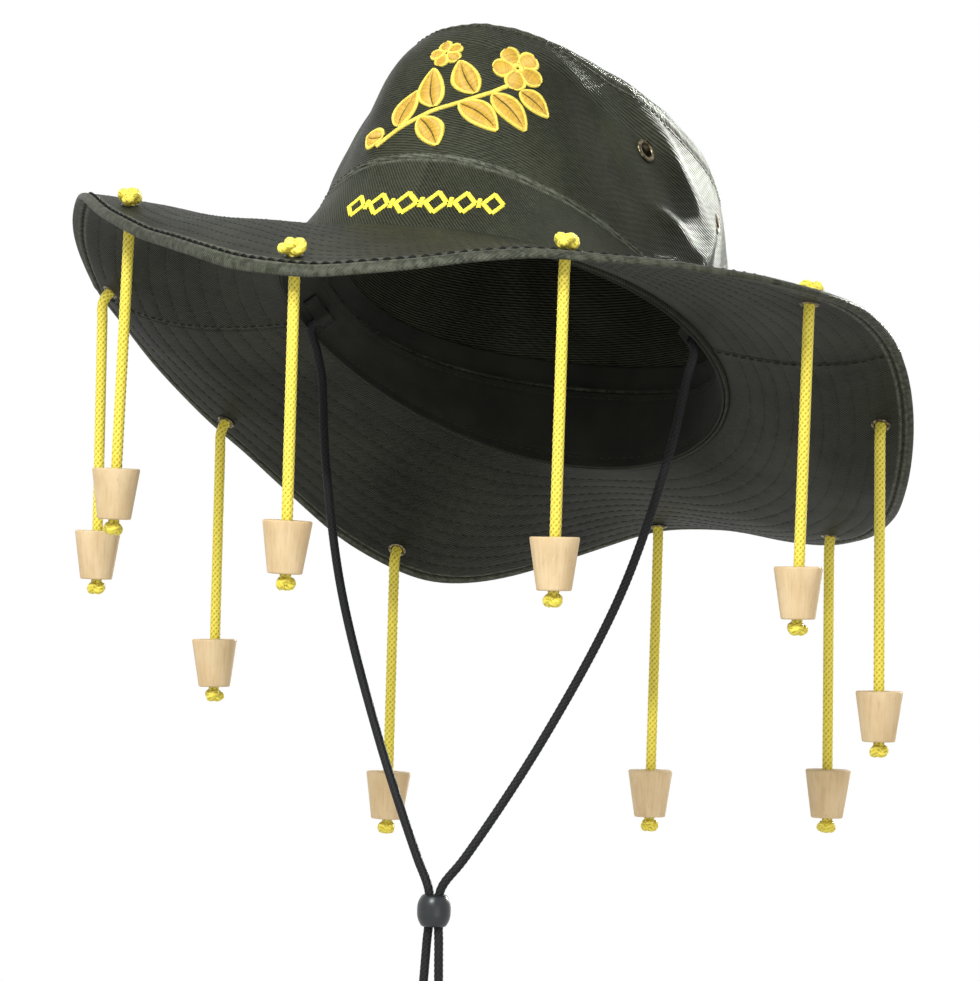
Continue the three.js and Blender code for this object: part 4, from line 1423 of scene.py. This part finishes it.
def make_chin_tabs():
    cover = WALL_THICKNESS + SWEATBAND_GAP + SWEATBAND_THICKNESS
    over_cord = CHIN_START_CLEAR + 2 * CHIN_RADIUS + TAB_CORD_CLEAR
    for side, word in ((1, "Left"), (-1, "Right")):
        angles = side * CHIN_START_ANGLE + TAB_HALF_WIDTH_DEG * np.linspace(-1, 1, TAB_COLUMNS)
        heights = np.linspace(*TAB_LENGTHS, TAB_ROWS)
        angle, level = np.meshgrid(angles, levels_from_lengths(heights))
        across = turn_from(angle, side * CHIN_START_ANGLE) * CROWN_ROUND_LENGTH / 360
        lift = over_cord * np.clip(1.25 * bell(across / 3.0), 0, 1) + TAB_LIFT
        normal = crown_normal(angle, level)
        low = crown(angle, level) - normal * (cover + lift)[..., None]
        high = low - normal * TAB_THICKNESS
        sheet = np.concatenate([high, low[:, ::-1]], axis=1)
        round_it = np.linspace(0, 4 * TAB_HALF_WIDTH_DEG * CROWN_ROUND_LENGTH / 360, sheet.shape[1] + 1)
        uv = np.stack(broadcast(round_it[None, :], heights[:, None]), axis=-1)
        grid_piece(f"Tab_Chin_{word}", worn(sheet), LINING, uv, False,
                   np.zeros(sheet.size // 3))
        seams = [(high[:, k], -normal[:, k]) for k in TAB_SEAM_COLUMNS]
        threads = joined([run_stitches(*seam, *TAB_STITCH, closed=False) for seam in seams])
        thread_piece(f"Stitches_Tab_{word}", threads, TAB_THREAD, SEWING_THREAD, 60 + side)


def make_crown_stitches():
    for name, seam, past, seed in (("Stitches_Band_Seam", BAND_LEVEL, SEAM_CLEAR, 31),
                                   ("Stitches_Tip_Seam", SEAM_LEVEL, -SEAM_CLEAR, 32)):
        level = float(levels_from_lengths(level_length(seam) + past))
        threads = run_stitches(*crown_face(RING_ANGLES, level), *CROWN_STITCH)
        thread_piece(name, threads, CROWN_THREAD, SEWING_THREAD, seed)
    inside = WALL_THICKNESS + SWEATBAND_GAP + SWEATBAND_THICKNESS - THREAD_SINK
    high = float(levels_from_lengths(level_length(SWEATBAND_TOP_LEVEL) - SWEATBAND_HEM))
    for name, level, seed in (("Stitches_Sweatband_High", high, 41),
                              ("Stitches_Sweatband_Low", SWEATBAND_LOW_LEVEL, 42)):
        normals = crown_normal(RING_ANGLES, level)
        line = crown(RING_ANGLES, level) - normals * inside
        threads = run_stitches(line, -normals, *SWEATBAND_STITCH)
        thread_piece(name, threads, SWEATBAND_THREAD, SEWING_THREAD, seed)


# Embroidery: satin stitches between two sides of a shape. Shapes are drawn in millimetres on the cloth
SATIN_PITCH = 0.42
SATIN_RADIUS = 0.27
SATIN_RISE = 0.42
OUTLINE_RISE = 0.62
LEAF_OUTLINE = 1.7
PETAL_OUTLINE = 1.5
SATIN_LEAN = 3
HEART_INNER = 0.4
EMBLEM_CENTRE = (3.6, 2.0)
EMBLEM_MM_PER_DEGREE = 1.18
# Leaves of the sprig: foot, direction in degrees, length, width
LEAVES = [
    (-25, -17, 158, 12, 7.5), (-20, -14, 78, 16, 9.0), (-12, -11, -52, 14, 8.5), (-8, -6.5, 106, 18, 9.5),
    (0, -4, -28, 18, 9.5), (5, 1, 124, 16, 9.5), (11, 2, -38, 18, 9.5), (20.5, 6.5, -24, 12.5, 7.5),
]
STEM = [(-27, -20), (-18, -14), (-8, -8), (2, -2.5), (11, 3), (15.5, 7)]
STEM_WIDTH = 1.9
# Blossoms: centre, reach and number of petals, turn in degrees
BLOSSOMS = [(18, 16, 9.6, 5, 54), (-10, 18, 6.4, 5, 40)]
BLOSSOM_HEART = 0.24


def emblem_place(points):
    """Cloth surface under points of the emblem's drawing."""
    points = np.asarray(points, dtype=float)
    angle = EMBLEM_CENTRE[0] + points[..., 0] / EMBLEM_MM_PER_DEGREE
    level = levels_from_lengths(level_length(EMBLEM_CENTRE[1]) + points[..., 1])
    return crown_face(angle, level)


def satin(one_side, other_side):
    """Thread ends across a shape whose two sides are lines of points with equal counts."""
    one_side, other_side = np.asarray(one_side, dtype=float), np.asarray(other_side, dtype=float)
    middle = np.column_stack([(one_side + other_side) / 2, np.zeros(len(one_side))])
    along = lengths_along(middle)
    where = np.arange(0, along[-1], SATIN_PITCH)
    return read_at(where, along, one_side), read_at(where, along, other_side)


def flat_axes(turn):
    """Directions ahead and to the left of it, in a flat drawing."""
    return np.array([math.cos(turn), math.sin(turn)]), np.array([-math.sin(turn), math.cos(turn)])


def leaf_sides(foot_x, foot_y, turn_deg, length, width):
    """Midrib and both edges of a pointed leaf."""
    t = np.linspace(0.02, 0.99, 40)
    ahead, beside = flat_axes(math.radians(turn_deg))
    bow = np.sin(np.pi * t) * length * 0.07
    rib = np.array([foot_x, foot_y]) + np.outer(t * length, ahead) + np.outer(bow, beside)
    half = width / 2 * np.sin(np.pi * t ** 0.85) ** 0.8
    return rib, rib + np.outer(half, beside), rib - np.outer(half, beside)


def outline(edge, centre_line, width):
    """Satin across an edge line, reaching a set width towards the shape's centre line."""
    inward = unit(centre_line - edge)
    return satin(edge + inward * -width * 0.35, edge + inward * width * 0.65)


def petal_sides(centre, reach, turn):
    """Middle line and both edges of a petal, from the blossom's heart outwards."""
    t = np.linspace(BLOSSOM_HEART, 1.0, 30)
    share = (t - BLOSSOM_HEART) / (1 - BLOSSOM_HEART)
    ahead, beside = flat_axes(turn)
    middle = np.array(centre) + np.outer(t * reach, ahead)
    half = reach * 0.40 * np.sqrt(np.clip(np.sin(np.pi * (0.10 + 0.88 * share) ** 1.25), 0.0, 1))
    return middle, middle + np.outer(half, beside), middle - np.outer(half, beside)


def stroke(start, end, width):
    """Satin stroke with square ends between two points."""
    start, end = np.array(start, dtype=float), np.array(end, dtype=float)
    line = start + np.outer(np.linspace(0, 1, 8), end - start)
    across = np.array([start[1] - end[1], end[0] - start[0]])
    across = across / np.linalg.norm(across) * width / 2
    return satin(line + across, line - across)


def sewn(name, place, pairs, look, rise, seed):
    """All the threads of one colour as one piece on the cloth."""
    first, second = joined(pairs)
    starts, normal = place(first)
    ends, _ = place(second)
    thread_piece(name, (starts, ends, normal), SATIN_RADIUS, look, seed, rise=rise)


def make_emblem():
    bodies, edges = [], []
    for leaf in LEAVES:
        rib, *sides = leaf_sides(*leaf)
        bodies += [satin(rib[:-SATIN_LEAN], side[SATIN_LEAN:]) for side in sides]
        edges += [outline(side, rib, LEAF_OUTLINE) for side in sides]
    for x, y, reach, petals, spin in BLOSSOMS:
        for k in range(petals):
            middle, *sides = petal_sides((x, y), reach, math.radians(spin + 360 * k / petals))
            bodies += [satin(*sides)]
            edges += [outline(side, middle, PETAL_OUTLINE) for side in sides]
        heart = np.linspace(0, 2 * np.pi, 24)
        ring = np.stack([np.cos(heart), np.sin(heart)], axis=1)
        centre = np.array([x, y])
        edges += [satin(centre + ring * HEART_INNER, centre + ring * reach * BLOSSOM_HEART * 1.25)]
    edges += [stroke(start, end, STEM_WIDTH) for start, end in zip(STEM[:-1], STEM[1:])]
    sewn("Embroidery_Sprig_Bodies", emblem_place, bodies, GOLD_THREAD, SATIN_RISE, 51)
    sewn("Embroidery_Sprig_Edges", emblem_place, edges, LEMON_THREAD, OUTLINE_RISE, 52)


# Row of stitched diamonds on the band, with a short bar between each two
BORDER_CENTRE_DEG = 1.9
BORDER_MM_PER_DEGREE = 1.43
BORDER_HEIGHT = 9.6
BORDER_TILT = 2.84
BORDER_BOW = 2.15
BORDER_HALF_LENGTH = 30.0
DIAMOND_COUNT = 6
DIAMOND_HALF = (3.8, 4.4)
BAR_HALF = 2.0
BORDER_STROKE = 1.9


def border_place(points):
    """Cloth surface under points of the border's drawing; the row bows up to the wearer's left."""
    points = np.asarray(points, dtype=float)
    share = points[..., 0] / BORDER_HALF_LENGTH
    angle = BORDER_CENTRE_DEG + points[..., 0] / BORDER_MM_PER_DEGREE
    height = BORDER_HEIGHT + BORDER_TILT * share + BORDER_BOW * share ** 2 + points[..., 1]
    return crown_face(angle, levels_from_lengths(height))


def make_border():
    pairs = []
    half_x, half_y = DIAMOND_HALF
    spacing = (2 * BORDER_HALF_LENGTH - 2 * half_x) / (DIAMOND_COUNT - 1)
    for k in range(DIAMOND_COUNT):
        x = -BORDER_HALF_LENGTH + half_x + k * spacing
        corners = [(x + half_x, 0), (x, half_y), (x - half_x, 0), (x, -half_y)]
        pairs += [stroke(corners[i], corners[(i + 1) % 4], BORDER_STROKE) for i in range(4)]
        if k < DIAMOND_COUNT - 1:
            gap = x + spacing / 2
            pairs.append(stroke((gap, -BAR_HALF), (gap, BAR_HALF), BORDER_STROKE))
    sewn("Embroidery_Border", border_place, pairs, BRIGHT_THREAD, SATIN_RISE, 53)


# Eyelets
EYELET_SIDES = 40
# Sizes of an eyelet: radius of its bore and its flange, height of its front and back over the cloth
VENT_EYELET = (2.8, 4.8, 0.75, 0.5)
BRIM_EYELET = (2.35, 3.75, 0.6, 0.3)
# How bright each ring of an eyelet is rubbed, from the barrel over the rim to the washer
EYELET_BRIGHT = [0.1, 0.15, 0.5, 0.9, 1.0, 0.9, 0.5, 0.15, 0.1, 0, 0, 0.2, 0.6, 0.6, 0.4, 0.2]


def eyelet_piece(name, centre, normal, cloth, size, node):
    """Rolled sheet-brass eyelet: a domed rim on the face that shows, a barrel and a flat washer behind."""
    bore, flange, front, back = size
    half = cloth / 2
    crest = (bore + flange) / 2
    profile = np.array([
        (bore, -half - 0.2), (bore - 0.02, half), (bore + 0.05, half + front * 0.45),
        (bore + 0.22 * (flange - bore), half + front * 0.85), (crest, half + front),
        (crest + 0.25 * (flange - bore), half + front * 0.78), (flange - 0.08, half + front * 0.35),
        (flange, half + 0.02), (flange - 0.25, half - 0.1), (bore + 0.35, half - 0.15),
        (bore + 0.35, -half + 0.1), (flange - 0.5, -half), (flange - 0.35, -half - back * 0.6),
        (flange - 0.8, -half - back), (bore + 0.5, -half - back), (bore + 0.1, -half - back * 0.8),
    ])
    grid = turned_grid(centre, normal, *turned_axes(normal, 11), profile, full_turn(EYELET_SIDES))
    shade = np.repeat(EYELET_BRIGHT, EYELET_SIDES)
    uv = np.zeros((len(profile) + 1, EYELET_SIDES + 1, 2))
    return grid_piece(name, grid, BRASS, uv, shade=shade, replaces=[node])


def make_eyelets():
    for name, point, normal in vent_spots():
        eyelet_piece(f"Eyelet_Vent_{name}", point - normal * WALL_THICKNESS / 2, normal, WALL_THICKNESS,
                     VENT_EYELET, f"vent_eyelet_{name}")
    for number, row in enumerate(STRINGS, 1):
        middle, normal = worn_string_place(row[0])
        eyelet_piece(f"Eyelet_Brim_{number}", middle, -normal, BRIM_THICKNESS, BRIM_EYELET,
                     f"brim_eyelet_{number}")


make_crown_band()
make_crown_wall()
make_crown_tip()
make_brim()
make_sweatband()
make_inner_tapes()
make_brim_stitches()
make_crown_stitches()
make_chin_tabs()
make_emblem()
make_border()
make_eyelets()


# Studio: a pale floor far below the hat, soft area lights and a white surround
FLOOR_Z = -4.2
FLOOR_RADIUS = 14.0
FLOOR_SIDES = 96
SURROUND_STRENGTH = 1.0
# Each light: name, place, aim, width in metres, power in watts, colour
LIGHTS = [
    ("Key", (0.1, -2.3, 2.0), (0, 0, 0.02), 0.9, 108, (0.95, 0.985, 1.0)),
    ("Fill", (1.8, -1.7, -0.5), (0, 0, -0.05), 1.4, 8, (0.99, 0.99, 0.98)),
    ("Rim_Right_Side", (-1.7, 1.3, 0.6), (-0.03, 0.02, 0.0), 0.9, 2, (1.0, 1.0, 1.0)),
]
# Narrow lights on the crown's back and front:
# name, place, aim, cone in degrees, width in metres, power in watts, colour
SPOTS = [
    ("Crown_Back", (0.27, 2.05, 0.62), (0.090, 0.074, 0.044), 5.4, 0.80, 4700, (0.965, 1.0, 0.90)),
    ("Crown_Front", (0.35, -2.3, 1.1), (0.014, -0.092, 0.052), 4.2, 0.16, 500, (0.94, 0.97, 1.0)),
]


def make_floor():
    mesh = bpy.data.meshes.new("Studio_Floor")
    edit = bmesh.new()
    bmesh.ops.create_circle(edit, cap_ends=True, segments=FLOOR_SIDES, radius=FLOOR_RADIUS)
    edit.to_mesh(mesh)
    edit.free()
    mesh.materials.append(FLOOR)
    floor = new_object("Studio_Floor", mesh)
    floor.location = (0, 0, FLOOR_Z)


def add_light(name, kind, place, aim, power, colour):
    data = bpy.data.lights.new(name, kind)
    data.energy = power
    data.color = colour
    light = new_object(name, data)
    light.location = place
    light.rotation_euler = (Vector(aim) - Vector(place)).to_track_quat("-Z", "Y").to_euler()
    return data


def make_lights():
    for name, place, aim, width, power, colour in LIGHTS:
        data = add_light(name, "AREA", place, aim, power, colour)
        data.shape = "DISK"
        data.size = width
    for name, place, aim, cone, width, power, colour in SPOTS:
        data = add_light(name, "SPOT", place, aim, power, colour)
        data.spot_size = math.radians(cone)
        data.spot_blend = 1.0
        data.shadow_soft_size = width / 2


def make_surround():
    world = bpy.data.worlds.new("Surround")
    world.use_nodes = True
    background = world.node_tree.nodes["Background"]
    background.inputs["Color"].default_value = (1.0, 1.0, 1.0, 1.0)
    background.inputs["Strength"].default_value = SURROUND_STRENGTH
    bpy.context.scene.world = world
    bpy.context.scene.view_settings.view_transform = "Standard"


make_floor()
make_lights()
make_surround()
